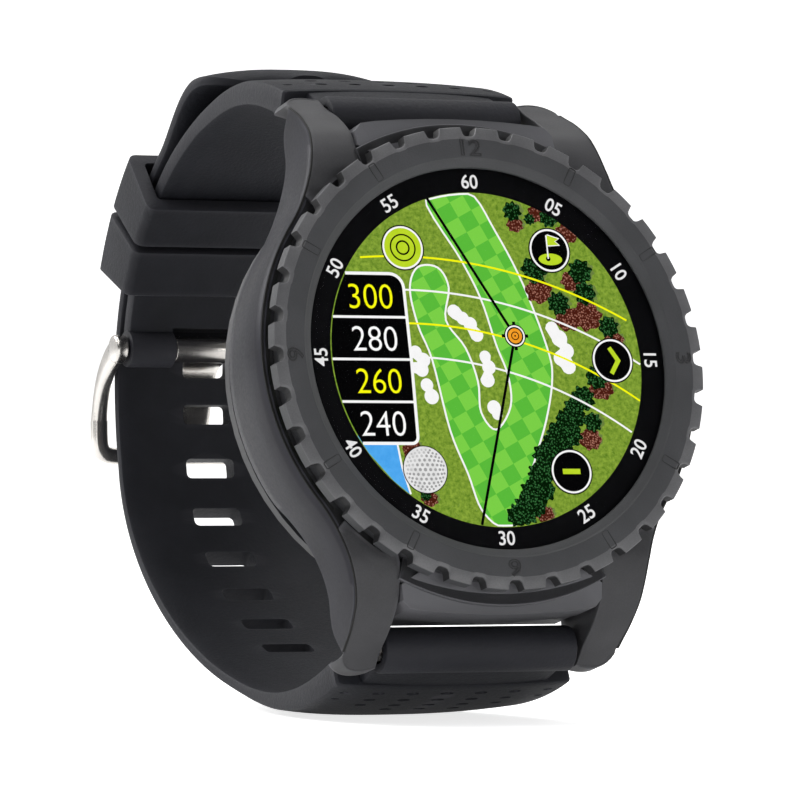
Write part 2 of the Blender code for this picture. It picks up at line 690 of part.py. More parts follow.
def board_parts():
    battery_x = 2.6 * MM
    battery_z = -3.6 * MM
    battery = block(on_board(battery_x, battery_z, BATTERY_SIZE), BATTERY_SIZE, 0.5 * MM)
    add_object("battery", battery, CELL_SILVER)
    antenna_z = battery_z + BATTERY_SIZE[2] / 2 + GAP + ANTENNA_SIZE[2] / 2 + 0.4 * MM
    antenna = block(on_board(0.0, antenna_z, ANTENNA_SIZE), ANTENNA_SIZE, 0.3 * MM)
    add_object("gps_antenna", antenna, CERAMIC)
    left = battery_x - BATTERY_SIZE[0] / 2 - 2 * GAP
    shield = block(on_board(left - SHIELD_SIZE[0] / 2, -7.0 * MM, SHIELD_SIZE), SHIELD_SIZE,
                   0.25 * MM)
    add_object("shield_can", shield, STEEL)
    motor = cylinder(Vector((left - MOTOR_RADIUS - GAP, 0.0, 0.8 * MM)), MOTOR_RADIUS, PARTS_Y,
                     PARTS_Y + MOTOR_DEPTH, "Y", 24)
    add_object("vibration_motor", motor, STEEL)
    switch_centre = on_board(switch_face_x() - SWITCH_SIZE[0] / 2, 0.0, SWITCH_SIZE)
    add_object("button_switch", block(switch_centre, SWITCH_SIZE, 0.2 * MM), BLACK_PLASTIC)


def switch_face_x():
    """The face of the switch that the button's stem pushes."""
    return FRAME_RADIUS - FRAME_WALL - 3.0 * MM


# The side button

def side_button():
    outer_x = CASE_RADIUS + BUTTON_PROUD
    inner_x = outer_x - BUTTON_DEPTH
    origin = Vector((inner_x, BUTTON_Y, 0.0))
    cap = block(Vector(((outer_x + inner_x) / 2, BUTTON_Y, 0.0)),
                (BUTTON_DEPTH, BUTTON_HEIGHT, BUTTON_LENGTH), 0.45 * MM)
    button = add_object("side_button", cap, CASE_PLASTIC, origin)
    stem_end = switch_face_x() + BUTTON_TRAVEL + GAP
    stem = cylinder(Vector((0.0, BUTTON_Y, 0.0)), STEM_RADIUS, stem_end, inner_x + 0.6 * MM,
                    "X", 12)
    join(button, add_object("button_stem", stem, None, origin))
    return button


def button_seal():
    bore = STEM_RADIUS + GAP
    ring = tube(Vector((0.0, BUTTON_Y, 0.0)), bore + STEM_SEAL_WIDTH, bore, CASE_BORE,
                CASE_BORE + STEM_SEAL_DEPTH, "X", 16)
    return add_object("button_seal", ring, RUBBER)


# Spring bars

def helix(centre, radius, wire, low, high, turns):
    """A coil of round wire about an X axis."""
    bm = bmesh.new()
    steps = turns * 8
    wire_sides = 5
    rings = []
    for i in range(steps + 1):
        angle = 2 * math.pi * turns * i / steps
        x = low + wire + (high - low - 2 * wire) * i / steps
        ring = []
        for j in range(wire_sides):
            phase = 2 * math.pi * j / wire_sides
            r = radius + wire * math.cos(phase)
            offset = Vector((x + wire * math.sin(phase), r * math.cos(angle), r * math.sin(angle)))
            ring.append(bm.verts.new(centre + offset))
        rings.append(ring)
    bridge_rings(bm, rings, closed=False)
    bm.faces.new(rings[0])
    bm.faces.new(rings[-1])
    return bm


def spring_bar(sign, where):
    """Tube, two sliding pins and the coil between them, on one lug axis."""
    axis = Vector((0.0, LUG_BAR_Y, sign * LUG_BAR_Z))
    end = LUG_GAP / 2 - GAP
    barrel = tube(axis, BAR_RADIUS, BAR_BORE, -end, end, "X", 16)
    add_object("lug_bar_" + where, barrel, STEEL)
    pin_inner = end - BAR_PIN_HIDDEN
    pin_outer = LUG_GAP / 2 + BAR_PIN_REACH
    for side, label in ((1, "right"), (-1, "left")):
        origin = axis + Vector((side * pin_inner, 0.0, 0.0))
        low, high = sorted((side * pin_inner, side * pin_outer))
        pin = cylinder(axis, BAR_PIN_RADIUS, low, high, "X", 10)
        add_object("bar_pin_%s_%s" % (where, label), pin, STEEL, origin)
    spring_half = pin_inner - BAR_PIN_TRAVEL - GAP
    coil_radius = BAR_BORE - GAP / 2 - BAR_SPRING_WIRE
    coil = helix(axis, coil_radius, BAR_SPRING_WIRE, -spring_half, spring_half, BAR_SPRING_TURNS)
    add_object("bar_spring_" + where, coil, STEEL)


# The strap and its buckle

def upper_path():
    """Centre line of the buckle half, from the upper lug bar to the buckle bar."""
    start = Vector((0.0, LUG_BAR_Y, LUG_BAR_Z))
    arc_start = on_loop(LOOP_RADIUS, ARC_TOP)
    first = start + Vector((0.0, 9.6 * MM, 7.6 * MM))
    second = arc_start - loop_tangent(ARC_TOP) * (-9.6 * MM)
    path = bezier(start, first, second, arc_start, 11)
    last = ARC_BUCKLE + 1.6 * MM / LOOP_RADIUS
    return path + arc(LOOP_RADIUS, ARC_TOP, last, 16)


def lower_path():
    """Centre line of the holed half, from the lower lug bar through the buckle to its tip."""
    start = Vector((0.0, LUG_BAR_Y, -LUG_BAR_Z))
    low_side = buckle_end() + Vector((0.0, -BUCKLE_THICKNESS / 2 - GAP - TAIL_THICKNESS / 2
                                      - 0.1 * MM, -2.2 * MM))
    first = start + Vector((0.0, 27.0 * MM, -LOOP_FLOOR_DROP + LUG_BAR_Z))
    second = low_side + Vector((0.0, 1.5 * MM, -19.0 * MM))
    path = bezier(start, first, second, low_side, 22)
    arc_low = on_loop(TAIL_RADIUS, ARC_TAIL_LOW)
    path += bezier(low_side, low_side + Vector((0.0, 0.0, 4.6 * MM)),
                   arc_low - loop_tangent(ARC_TAIL_LOW) * (4.6 * MM), arc_low, 6)
    path += arc(TAIL_RADIUS, ARC_TAIL_LOW, ARC_TAIL_HIGH, 11)[:-1]
    leave = on_loop(TAIL_RADIUS, ARC_TAIL_HIGH)
    tip = on_loop(TAIL_RADIUS + 0.5 * MM, math.radians(95.5))
    path += bezier(leave, leave + loop_tangent(ARC_TAIL_HIGH) * (5.0 * MM),
                   tip + Vector((0.0, 8.5 * MM, 5.0 * MM)), tip, 8)
    return path + [tip]


def buckle_axis():
    """Centre of the buckle bar."""
    return on_loop(BUCKLE_BAR_RADIUS_ON_LOOP, ARC_BUCKLE)


def buckle_end():
    """Middle of the frame's far end."""
    return buckle_axis() + BUCKLE_REACH


def strap_upper():
    path = upper_path()
    stations = strap_stations(path, LUG_GAP / 2 - GAP - HUB_STEP, strap_width,
                              strap_thickness(STRAP_THICKNESS))
    strap = add_object("strap_upper", ribbon(path, stations), RUBBER)
    lug_axis = path[0]
    half = LUG_GAP / 2 - GAP
    join(strap, add_object("upper_hub", cylinder(lug_axis, STRAP_HUB_RADIUS, -half, half, "X", 24),
                           None))
    bore = cylinder(lug_axis, BAR_RADIUS + GAP, -half - MM, half + MM, "X", 20)
    cut(strap, add_object("upper_hub_bore", bore, None))
    axis = buckle_axis()
    half = STRAP_WIDTH / 2 + HUB_STEP
    join(strap, add_object("buckle_hub", cylinder(axis, BUCKLE_HUB_RADIUS, -half, half, "X", 24),
                           None))
    bore = cylinder(axis, BUCKLE_BAR_RADIUS + GAP, -half - 2 * MM, half + 2 * MM, "X", 16)
    cut(strap, add_object("buckle_hub_bore", bore, None))
    notch_half = TONGUE_BARREL_WIDTH / 2 + GAP
    reach = BUCKLE_HUB_RADIUS + GAP
    notch = cylinder(axis, reach, -notch_half, notch_half, "X", 20)
    cut(strap, add_object("tongue_notch", notch, None))
    return strap


def slot_tools(path):
    """Cutters for the row of slots; the tongue stands in the first."""
    lengths = path_lengths(path)
    crossing = tongue_crossing()
    nearest = min(range(len(path)), key=lambda i: (path[i] - crossing).length)
    point, direction = path[nearest], smooth_directions(path)[nearest]
    in_use = lengths[nearest] + (crossing - point).dot(direction)
    for i in range(SLOT_COUNT):
        length = SLOT_IN_USE_LENGTH if i == 0 else SLOT_LENGTH
        point, direction = at_distance(path, in_use - i * SLOT_PITCH)
        tool = block(Vector((0.0, 0.0, 0.0)), (SLOT_WIDTH, 6 * MM, length))
        turn = Vector((0.0, 0.0, 1.0)).rotation_difference(direction).to_matrix()
        bmesh.ops.rotate(tool, verts=tool.verts, matrix=turn)
        bmesh.ops.translate(tool, verts=tool.verts, vec=point)
        yield add_object("strap_slot_%d" % (i + 1), tool, None)


def strap_lower():
    path = lower_path()
    stations = strap_stations(path, LUG_GAP / 2 - GAP - HUB_STEP, strap_width,
                              strap_thickness(TAIL_THICKNESS))
    tip_point, tip_direction = stations[-1][:2]
    stations[-1] = (tip_point, tip_direction, STRAP_WIDTH / 2 - 3.5 * MM, TAIL_THICKNESS,
                    STRAP_EDGE)
    strap = add_object("strap_lower", ribbon(path, stations), RUBBER)
    lug_axis = path[0]
    half = LUG_GAP / 2 - GAP
    join(strap, add_object("lower_hub", cylinder(lug_axis, STRAP_HUB_RADIUS, -half, half, "X", 24),
                           None))
    bore = cylinder(lug_axis, BAR_RADIUS + GAP, -half - MM, half + MM, "X", 20)
    cut(strap, add_object("lower_hub_bore", bore, None))
    for tool in slot_tools(path):
        cut(strap, tool)
    return strap


def keeper(name, start, inner_radius, outer_radius, half_width, wall, finish, origin):
    """A band round both strap layers, over an angle of the round stretch."""
    bm = bmesh.new()
    steps = 4
    rings = []
    edge = 0.5 * MM
    outline = [(half_width - edge, outer_radius + wall), (half_width, outer_radius + wall - edge),
               (half_width, inner_radius - wall + edge), (half_width - edge, inner_radius - wall)]
    outline += [(-x, r) for x, r in reversed(outline)]
    for i in range(steps + 1):
        angle = start + KEEPER_ANGLE * i / steps
        outer = [bm.verts.new(on_loop(r, angle) + Vector((x, 0.0, 0.0))) for x, r in outline]
        x = half_width - wall
        hole = [(x, outer_radius), (x, inner_radius), (-x, inner_radius), (-x, outer_radius)]
        inner = [bm.verts.new(on_loop(r, angle) + Vector((u, 0.0, 0.0))) for u, r in hole]
        rings.append((outer, inner))
    bridge_rings(bm, [outer for outer, inner in rings], closed=False)
    bridge_rings(bm, [inner for outer, inner in rings], closed=False)
    for outer, inner in (rings[0], rings[-1]):
        bm.faces.new((outer[0], outer[1], inner[0], inner[3], outer[6], outer[7]))
        bm.faces.new((outer[1], outer[2], inner[1], inner[0]))
        bm.faces.new((outer[2], outer[3], outer[4], outer[5], inner[2], inner[1]))
        bm.faces.new((outer[5], outer[6], inner[3], inner[2]))
    return add_object(name, bm, finish, origin)


def keepers():
    inner_radius = LOOP_RADIUS - STRAP_THICKNESS / 2 - KEEPER_CLEARANCE
    outer_radius = TAIL_RADIUS + TAIL_THICKNESS / 2 + KEEPER_CLEARANCE
    half = STRAP_WIDTH / 2 + KEEPER_CLEARANCE + KEEPER_WALL
    keeper("fixed_keeper", FIXED_KEEPER_START, inner_radius, outer_radius, half, KEEPER_WALL,
           RUBBER, LOOP_CENTRE)
    keeper("sliding_keeper", SLIDING_KEEPER_START, inner_radius, outer_radius, half, KEEPER_WALL,
           RUBBER, LOOP_CENTRE)


def buckle_frame():
    axis = buckle_axis()
    end = buckle_end()
    bow = axis + BUCKLE_BOW
    inner = BUCKLE_INNER / 2
    outer = inner + BUCKLE_ARM
    curve = bezier(axis, axis.lerp(bow, 0.67), end.lerp(bow, 0.67), end, 9) + [end]
    lead = (curve[1] - curve[0]).normalized()
    curve.insert(0, axis - lead * (BUCKLE_THICKNESS * 0.6))
    directions = smooth_directions(curve)
    body = [(p, d, outer, BUCKLE_THICKNESS, 0.5 * MM) for p, d in zip(curve, directions)]
    frame = add_object("buckle_frame", ribbon(curve, body), STEEL, axis)
    total = path_lengths(curve)[-1]
    window_path = [curve[0] - lead * MM]
    steps = 8
    for i in range(1, steps + 1):
        window_path.append(at_distance(curve, (total - BUCKLE_END_BAR) * i / steps)[0])
    directions = smooth_directions(window_path)
    window = [(p, d, inner, 4 * BUCKLE_THICKNESS, 0.3 * MM)
              for p, d in zip(window_path, directions)]
    cut(frame, add_object("buckle_window", ribbon(window_path, window), None, axis))
    reach = outer + MM
    hole = cylinder(axis, BUCKLE_BAR_RADIUS + GAP, -reach, reach, "X", 14)
    cut(frame, add_object("buckle_bar_hole", hole, None, axis))
    return frame


def buckle_bar():
    half = BUCKLE_INNER / 2 + BUCKLE_ARM - 0.1 * MM
    bar = cylinder(buckle_axis(), BUCKLE_BAR_RADIUS, -half, half, "X", 14)
    return add_object("buckle_bar", bar, STEEL)


def tongue_path():
    """Centre line of the tongue: out through the strap's slot and down over the frame's end."""
    axis = buckle_axis()
    end = buckle_end()
    crossing = tongue_crossing()
    return [axis, axis + Vector((0.0, 1.9 * MM, 0.05 * MM)), crossing,
            crossing + Vector((0.0, 2.0 * MM, -0.7 * MM)),
            crossing + Vector((0.0, 3.6 * MM, -2.7 * MM)),
            end + Vector((0.0, 1.9 * MM, 2.6 * MM)), end + Vector((0.0, 2.6 * MM, 0.8 * MM))]


def tongue_crossing():
    """Where the tongue stands in the strap, beside the buckle bar."""
    return buckle_axis() + Vector((0.0, TAIL_RADIUS - LOOP_RADIUS + 1.0 * MM, -0.4 * MM))


def buckle_tongue():
    axis = buckle_axis()
    path = tongue_path()
    directions = smooth_directions(path)
    half = TONGUE_WIDTH / 2
    stations = [(p, d, half, TONGUE_THICKNESS, 0.2 * MM) for p, d in zip(path, directions)]
    tongue = add_object("buckle_tongue", ribbon(path, stations), STEEL, axis)
    hub_radius = BUCKLE_BAR_RADIUS + GAP + TONGUE_WALL
    barrel_half = TONGUE_BARREL_WIDTH / 2
    hub = cylinder(axis, hub_radius, -barrel_half, barrel_half, "X", 20)
    join(tongue, add_object("tongue_barrel", hub, None, axis))
    hole = cylinder(axis, BUCKLE_BAR_RADIUS + GAP, -barrel_half - MM, barrel_half + MM, "X", 14)
    cut(tongue, add_object("tongue_hole", hole, None, axis))
    return tongue


def stand_on_floor():
    """Lean the watch back, centre it over the origin and rest it on Z = 0."""
    STAND.rotation_euler = (-LEAN, 0.0, 0.0)
    bpy.context.view_layer.update()
    depsgraph = bpy.context.evaluated_depsgraph_get()
    corners = []
    for obj in bpy.data.objects:
        if obj.type == "MESH" and not obj.hide_render:
            shaped = obj.evaluated_get(depsgraph)
            corners += [shaped.matrix_world @ v.co for v in shaped.data.vertices]
    low = Vector([min(c[i] for c in corners) for i in range(3)])
    high = Vector([max(c[i] for c in corners) for i in range(3)])
    middle = (low + high) / 2
    STAND.location = (-middle.x, -middle.y, -low.z)


clear_scene()
STAND = bpy.data.objects.new("stand", None)
bpy.context.collection.objects.link(STAND)
bezel_ring()
front_glass()
dial_ring()
display_panel()
display_gasket()
mid_case()
case_back()
back_gasket()
cover_screws()
charging_contacts()
inner_frame()
main_board()
board_parts()
side_button()
button_seal()
spring_bar(1, "upper")
spring_bar(-1, "lower")
strap_upper()
strap_lower()
keepers()
buckle_frame()
buckle_bar()
buckle_tongue()
stand_on_floor()
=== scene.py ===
"""Looks of the golf GPS watch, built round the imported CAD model.

Watch axes: +X to 3 o'clock, +Y into the wrist, +Z to 12 o'clock, with the display surface at
Y = 0 and its centre at the origin. Shapes are made in millimetres in these axes, and every piece
is then placed by the one matrix WATCH, which comes from where the CAD display stands.
"""
import math

import bmesh
import bpy
from mathutils import Matrix, Vector


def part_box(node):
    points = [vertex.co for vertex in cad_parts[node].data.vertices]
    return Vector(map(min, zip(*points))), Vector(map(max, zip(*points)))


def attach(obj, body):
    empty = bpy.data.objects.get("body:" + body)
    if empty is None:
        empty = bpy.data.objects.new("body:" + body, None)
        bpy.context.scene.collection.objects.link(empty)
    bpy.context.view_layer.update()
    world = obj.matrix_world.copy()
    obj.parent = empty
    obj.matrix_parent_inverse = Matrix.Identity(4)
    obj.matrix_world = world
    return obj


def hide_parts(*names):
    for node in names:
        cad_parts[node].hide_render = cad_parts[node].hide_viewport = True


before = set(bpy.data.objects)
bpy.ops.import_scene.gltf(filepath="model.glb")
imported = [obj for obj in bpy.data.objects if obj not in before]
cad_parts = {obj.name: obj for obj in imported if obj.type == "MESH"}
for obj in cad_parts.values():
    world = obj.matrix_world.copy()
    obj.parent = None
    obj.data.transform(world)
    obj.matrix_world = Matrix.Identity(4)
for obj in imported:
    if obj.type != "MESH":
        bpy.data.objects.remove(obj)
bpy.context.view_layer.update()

MM = 0.001
LEAN = math.radians(13.9)


# Places from the frame

def watch_matrix():
    """Where the watch axes stand, from the box of the leaning display disc."""
    low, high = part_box("display_panel")
    size = high - low
    depth = (size.z - size.x * math.cos(LEAN)) / math.sin(LEAN)
    back = Vector((0.0, math.cos(LEAN), -math.sin(LEAN)))
    return Matrix.Translation((low + high) / 2 - back * (depth / 2)) @ Matrix.Rotation(-LEAN, 4, "X")


WATCH = watch_matrix()
TO_WATCH = WATCH.inverted()


def box_mm(node):
    """Lowest and highest corner of a CAD node in watch axes, in millimetres."""
    points = [TO_WATCH @ v.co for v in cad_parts[node].data.vertices]
    low = Vector([min(p[i] for p in points) / MM for i in range(3)])
    high = Vector([max(p[i] for p in points) / MM for i in range(3)])
    return low, high


DISPLAY_R = box_mm("display_panel")[1].x
DISPLAY_DEPTH = box_mm("display_panel")[1].y
DIAL_R = box_mm("dial_ring")[1].x
DIAL_REAR = box_mm("dial_ring")[1].y
GLASS_R = box_mm("front_glass")[1].x
GLASS_FRONT = box_mm("front_glass")[0].y
BEZEL_R = box_mm("bezel_ring")[1].x
BEZEL_FRONT = box_mm("bezel_ring")[0].y
BEZEL_BASE = box_mm("bezel_ring")[1].y
CASE_R = -box_mm("mid_case")[0].x
CASE_REAR = box_mm("mid_case")[1].y
BAR_CENTRE = sum(box_mm("lug_bar_upper"), Vector()) / 2
BUCKLE_AXIS = sum(box_mm("buckle_bar"), Vector()) / 2


# Mesh helpers

def bridge(bm, rings, closed=False, finish=0):
    """Quads between rings of vertices; closed also joins the last ring to the first."""
    pairs = list(zip(rings, rings[1:]))
    if closed:
        pairs.append((rings[-1], rings[0]))
    count = len(rings[0])
    for a, b in pairs:
        for i in range(count):
            j = (i + 1) % count
            bm.faces.new((a[i], a[j], b[j], b[i])).material_index = finish


def capped(bm, rings, finish=0):
    """Quads between rings of vertices, with the first and the last ring closed by a face."""
    bridge(bm, rings, finish=finish)
    for end in (rings[0], rings[-1]):
        bm.faces.new(end).material_index = finish


def ring_of(bm, points):
    """New vertices at the points."""
    return [bm.verts.new(p) for p in points]


def add_piece(name, bm, finishes, body="watch", stands_for=(), sharp=35.0):
    """Turn a bmesh in millimetres and watch axes into a piece that rides on a body."""
    bmesh.ops.recalc_face_normals(bm, faces=bm.faces)
    mesh = bpy.data.meshes.new(name)
    bm.to_mesh(mesh)
    bm.free()
    return place(name, mesh, finishes, body, stands_for, sharp)


def place(name, mesh, finishes, body="watch", stands_for=(), sharp=35.0,
          upright=False):
    """Place a mesh in millimetres and watch axes on the frame.

    An upright piece has its mesh turned into the axes of the world, so that the box round
    the mesh is the box that the piece takes up."""
    mesh.transform(WATCH @ Matrix.Scale(MM, 4) if upright else Matrix.Scale(MM, 4))
    for finish in finishes:
        mesh.materials.append(finish)
    mesh.shade_smooth()
    mesh.set_sharp_from_angle(angle=math.radians(sharp))
    piece = bpy.data.objects.new(name, mesh)
    bpy.context.scene.collection.objects.link(piece)
    piece.matrix_world = Matrix.Identity(4) if upright else WATCH
    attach(piece, body)
    if stands_for:
        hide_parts(*stands_for)
    return piece


def temporary(bm):
    """A bmesh as an object that is used only to make another."""
    bmesh.ops.recalc_face_normals(bm, faces=bm.faces)
    mesh = bpy.data.meshes.new("temporary")
    bm.to_mesh(mesh)
    bm.free()
    obj = bpy.data.objects.new("temporary", mesh)
    bpy.context.scene.collection.objects.link(obj)
    return obj


def evaluated_mesh(obj):
    """The mesh of an object with its modifiers applied; the object is then removed."""
    bpy.context.view_layer.update()
    graph = bpy.context.evaluated_depsgraph_get()
    mesh = bpy.data.meshes.new_from_object(obj.evaluated_get(graph))
    bpy.data.objects.remove(obj)
    return mesh


def combined(bm, adds=(), cuts=()):
    """A mesh with others joined to it and cut from it."""
    obj = temporary(bm)
    tools = []
    for tool_bm, operation in [(t, "UNION") for t in adds] + [(t, "DIFFERENCE") for t in cuts]:
        tool = temporary(tool_bm)
        change = obj.modifiers.new("change", "BOOLEAN")
        change.operation = operation
        change.object = tool
        tools.append(tool)
    mesh = evaluated_mesh(obj)
    for tool in tools:
        bpy.data.objects.remove(tool)
    return mesh


def turned(bm, profile, sides, radius_at=None, finish=0):
    """Turn a closed (radius, y) profile about the watch's Y axis.

    radius_at(angle, radius, y) may change the radius; angle 0 is at 12 o'clock.
    """
    rings = []
    for i in range(sides):
        angle = 2 * math.pi * i / sides
        points = []
        for radius, y in profile:
            r = radius_at(angle, radius, y) if radius_at else radius
            points.append((r * math.sin(angle), y, r * math.cos(angle)))
        rings.append(ring_of(bm, points))
    bridge(bm, rings, closed=True, finish=finish)


def prism(bm, outline, front, rear, finish=0):
    """Extrude an (x, z) outline from y = front to y = rear."""
    a = ring_of(bm, [(x, front, z) for x, z in outline])
    b = ring_of(bm, [(x, rear, z) for x, z in outline])
    capped(bm, [a, b], finish)


def stadium(centre, radius, straight):
    """(y, z) points round a slot that stands on end, straight being half its flat length."""
    points = []
    for i in range(40):
        angle = 2 * math.pi * (i + 0.5) / 40
        z = math.copysign(straight, math.cos(angle)) + radius * math.cos(angle)
        points.append((centre + radius * math.sin(angle), z))
    return points


def rounded_box(half, low, high, corner):
    """Points round a box from -half to half across and from low to high, with round corners."""
    points = []
    for side, edge, start in ((1, high - corner, 0), (-1, high - corner, 90),
                              (-1, low + corner, 180), (1, low + corner, 270)):
        for k in range(5):
            angle = math.radians(start + 22.5 * k)
            points.append((side * (half - corner) + corner * math.cos(angle),
                           edge + corner * math.sin(angle)))
    return points


def oval_ring(bm, point, across, up, square, sides=20):
    """A ring of vertices round a rounded section; square gives its two powers."""
    ring = []
    for k in range(sides):
        angle = 2 * math.pi * k / sides
        c, s = math.cos(angle), math.sin(angle)
        u = math.copysign(abs(c) ** square[0], c)
        v = math.copysign(abs(s) ** square[1], s)
        ring.append(point + across * u + up * v)
    return ring_of(bm, ring)


def bezier(a, b, c, d, count):
    """Points on a cubic curve, without its last point."""
    points = []
    for i in range(count):
        t = i / count
        s = 1.0 - t
        points.append(a * s ** 3 + b * (3 * s * s * t) + c * (3 * s * t * t) + d * t ** 3)
    return points


def catmull(points, steps, closed=True):
    """A smooth line through points."""
    pts = [Vector(p) for p in points]
    count = len(pts)
    spans = count if closed else count - 1
    line = []
    for i in range(spans):
        if closed:
            p0, p1, p2, p3 = (pts[(i + k - 1) % count] for k in range(4))
        else:
            p0, p1, p2, p3 = (pts[min(max(i + k - 1, 0), count - 1)] for k in range(4))
        line += bezier(p1, p1 + (p2 - p0) / 6, p2 - (p3 - p1) / 6, p2, steps)
    return line if closed else line + [pts[-1]]


def interpolate(x, table):
    """Value at x on straight lines through (x, value) pairs."""
    if x <= table[0][0]:
        return table[0][1]
    for (x0, y0), (x1, y1) in zip(table, table[1:]):
        if x <= x1:
            return y0 + (y1 - y0) * (x - x0) / (x1 - x0)
    return table[-1][1]


def smooth_share(low, high, x):
    """How far x is from low to high, from 0 to 1, with a soft start and end."""
    share = min(max((x - low) / (high - low), 0.0), 1.0)
    return share * share * (3 - 2 * share)


def polar(radius, degrees, centre=(0.0, 0.0)):
    """(x, z) at a clock angle, clockwise from 12."""
    angle = math.radians(degrees)
    return centre[0] + radius * math.sin(angle), centre[1] + radius * math.cos(angle)


FONT_CAP_SHARE = 0.73               # cap height of the built-in font as a share of its size


def text_mesh(body, height, depth, width_share=1.0, weight=0.0, outline=0.0):
    """Numbers as a mesh in millimetres, upright in the XZ plane, centred, facing -Y.

    outline makes thin round strokes along the edges of the numbers in place of solid ones.
    """
    curve = bpy.data.curves.new("numbers", "FONT")
    curve.body = body
    curve.align_x = "CENTER"
    curve.align_y = "CENTER"
    curve.size = height / FONT_CAP_SHARE
    curve.resolution_u = 4
    if outline:
        curve.fill_mode = "NONE"
        curve.bevel_depth = outline
        curve.bevel_resolution = 1
    else:
        curve.extrude = depth / 2
        curve.offset = weight
    obj = bpy.data.objects.new("numbers", curve)
    bpy.context.scene.collection.objects.link(obj)
    mesh = evaluated_mesh(obj)
    bpy.data.curves.remove(curve)
    turn = Matrix.Rotation(math.radians(90), 4, "X") @ Matrix.Diagonal((width_share, 1, 1, 1))
    mesh.transform(turn)
    low = Vector([min(v.co[i] for v in mesh.vertices) for i in range(3)])
    high = Vector([max(v.co[i] for v in mesh.vertices) for i in range(3)])
    mesh.transform(Matrix.Translation(-(low + high) / 2))
    return mesh


def add_mesh(bm, mesh, matrix, finish=0):
    """Add a mesh to a bmesh through a matrix, then remove it."""
    before = len(bm.faces)
    mesh.transform(matrix)
    bm.from_mesh(mesh)
    bm.faces.ensure_lookup_table()
    for face in bm.faces[before:]:
        face.material_index = finish
    bpy.data.meshes.remove(mesh)


def dial_place(radius, degrees, y, flip=False):
    """Matrix for a number on the dial, with its top outward, or inward if flipped."""
    x, z = polar(radius, degrees)
    turn = degrees + (180.0 if flip else 0.0)
    return Matrix.Translation((x, y, z)) @ Matrix.Rotation(math.radians(turn), 4, "Y")


# Materials

def new_material(name):
    """A new material with its nodes, their links and its main shader."""
    made = bpy.data.materials.new(name)
    made.use_nodes = True
    nodes = made.node_tree.nodes
    return made, nodes, made.node_tree.links, nodes["Principled BSDF"]


def millimetres(nodes, links, stretch=(1.0, 1.0, 1.0)):
    """Object coordinates in millimetres."""
    where = nodes.new("ShaderNodeTexCoord")
    scale = nodes.new("ShaderNodeMapping")
    scale.inputs["Scale"].default_value = [s / MM for s in stretch]
    links.new(where.outputs["Object"], scale.inputs["Vector"])
    return scale.outputs["Vector"]


def noise(nodes, links, vector, size, detail=3.0, roughness=0.6):
    """A noise whose features are about size millimetres across."""
    node = nodes.new("ShaderNodeTexNoise")
    node.inputs["Scale"].default_value = 1.0 / size
    node.inputs["Detail"].default_value = detail
    node.inputs["Roughness"].default_value = roughness
    links.new(vector, node.inputs["Vector"])
    return node.outputs["Fac"]


def ranged(nodes, links, value, low, high, start=0.3, end=0.7):
    """Map a value onto a range."""
    node = nodes.new("ShaderNodeMapRange")
    node.inputs["From Min"].default_value = start
    node.inputs["From Max"].default_value = end
    node.inputs["To Min"].default_value = low
    node.inputs["To Max"].default_value = high
    links.new(value, node.inputs["Value"])
    return node.outputs["Result"]


def blended(nodes, links, factor, a, b, mode="MIX"):
    """Mix two colours, each a tuple or a socket."""
    node = nodes.new("ShaderNodeMix")
    node.data_type = "RGBA"
    node.blend_type = mode
    if isinstance(factor, float):
        node.inputs["Factor"].default_value = factor
    else:
        links.new(factor, node.inputs["Factor"])
    for name, value in (("A", a), ("B", b)):
        socket = next(s for s in node.inputs if s.name == name and s.type == "RGBA")
        if isinstance(value, tuple):
            socket.default_value = (*value, 1.0)
        else:
            links.new(value, socket)
    return next(s for s in node.outputs if s.type == "RGBA")


def bumped(nodes, links, height, distance, strength, under=None):
    """A bumped normal, distance deep in millimetres, on top of another if there is one."""
    node = nodes.new("ShaderNodeBump")
    node.inputs["Distance"].default_value = distance * MM
    node.inputs["Strength"].default_value = strength
    links.new(height, node.inputs["Height"])
    if under:
        links.new(under, node.inputs["Normal"])
    return node.outputs["Normal"]


def edge_wear_and_highlight(nodes, links, low=0.52, high=0.60):
    """A share that grows on convex edges, for the paler line along them: partly wear, partly a painted
    highlight.
    """
    shape = nodes.new("ShaderNodeNewGeometry")
    return ranged(nodes, links, shape.outputs["Pointiness"], 0.0, 1.0, low, high)


def moulded(name, dark, light, roughness, grain, grain_depth, patch=6.0, edge=None, gloss=0.5):
    """Moulded plastic or rubber: fine grain, slow colour change, and paler edges that are partly wear,
    partly a painted highlight.
    """
    made, nodes, links, shader = new_material(name)
    vector = millimetres(nodes, links)
    slow = noise(nodes, links, vector, patch, 2.0)
    fine = noise(nodes, links, vector, grain, 4.0, 0.65)
    pores = nodes.new("ShaderNodeTexVoronoi")
    pores.inputs["Scale"].default_value = 0.55 / grain
    links.new(vector, pores.inputs["Vector"])
    colour = blended(nodes, links, ranged(nodes, links, slow, 0.0, 1.0), dark, light)
    speckle = ranged(nodes, links, fine, 0.86, 1.14)
    colour = blended(nodes, links, 1.0, colour, speckle, "MULTIPLY")
    # the edge colour on convex edges is partly wear, partly a painted highlight
    if edge:
        colour = blended(nodes, links, edge_wear_and_highlight(nodes, links), colour, edge)
    links.new(colour, shader.inputs["Base Color"])
    links.new(ranged(nodes, links, fine, roughness - 0.06, roughness + 0.06),
              shader.inputs["Roughness"])
    shader.inputs["Specular IOR Level"].default_value = gloss
    rough_skin = bumped(nodes, links, pores.outputs["Distance"], grain_depth, 0.35)
    links.new(bumped(nodes, links, fine, grain_depth, 0.6, rough_skin), shader.inputs["Normal"])
    return made


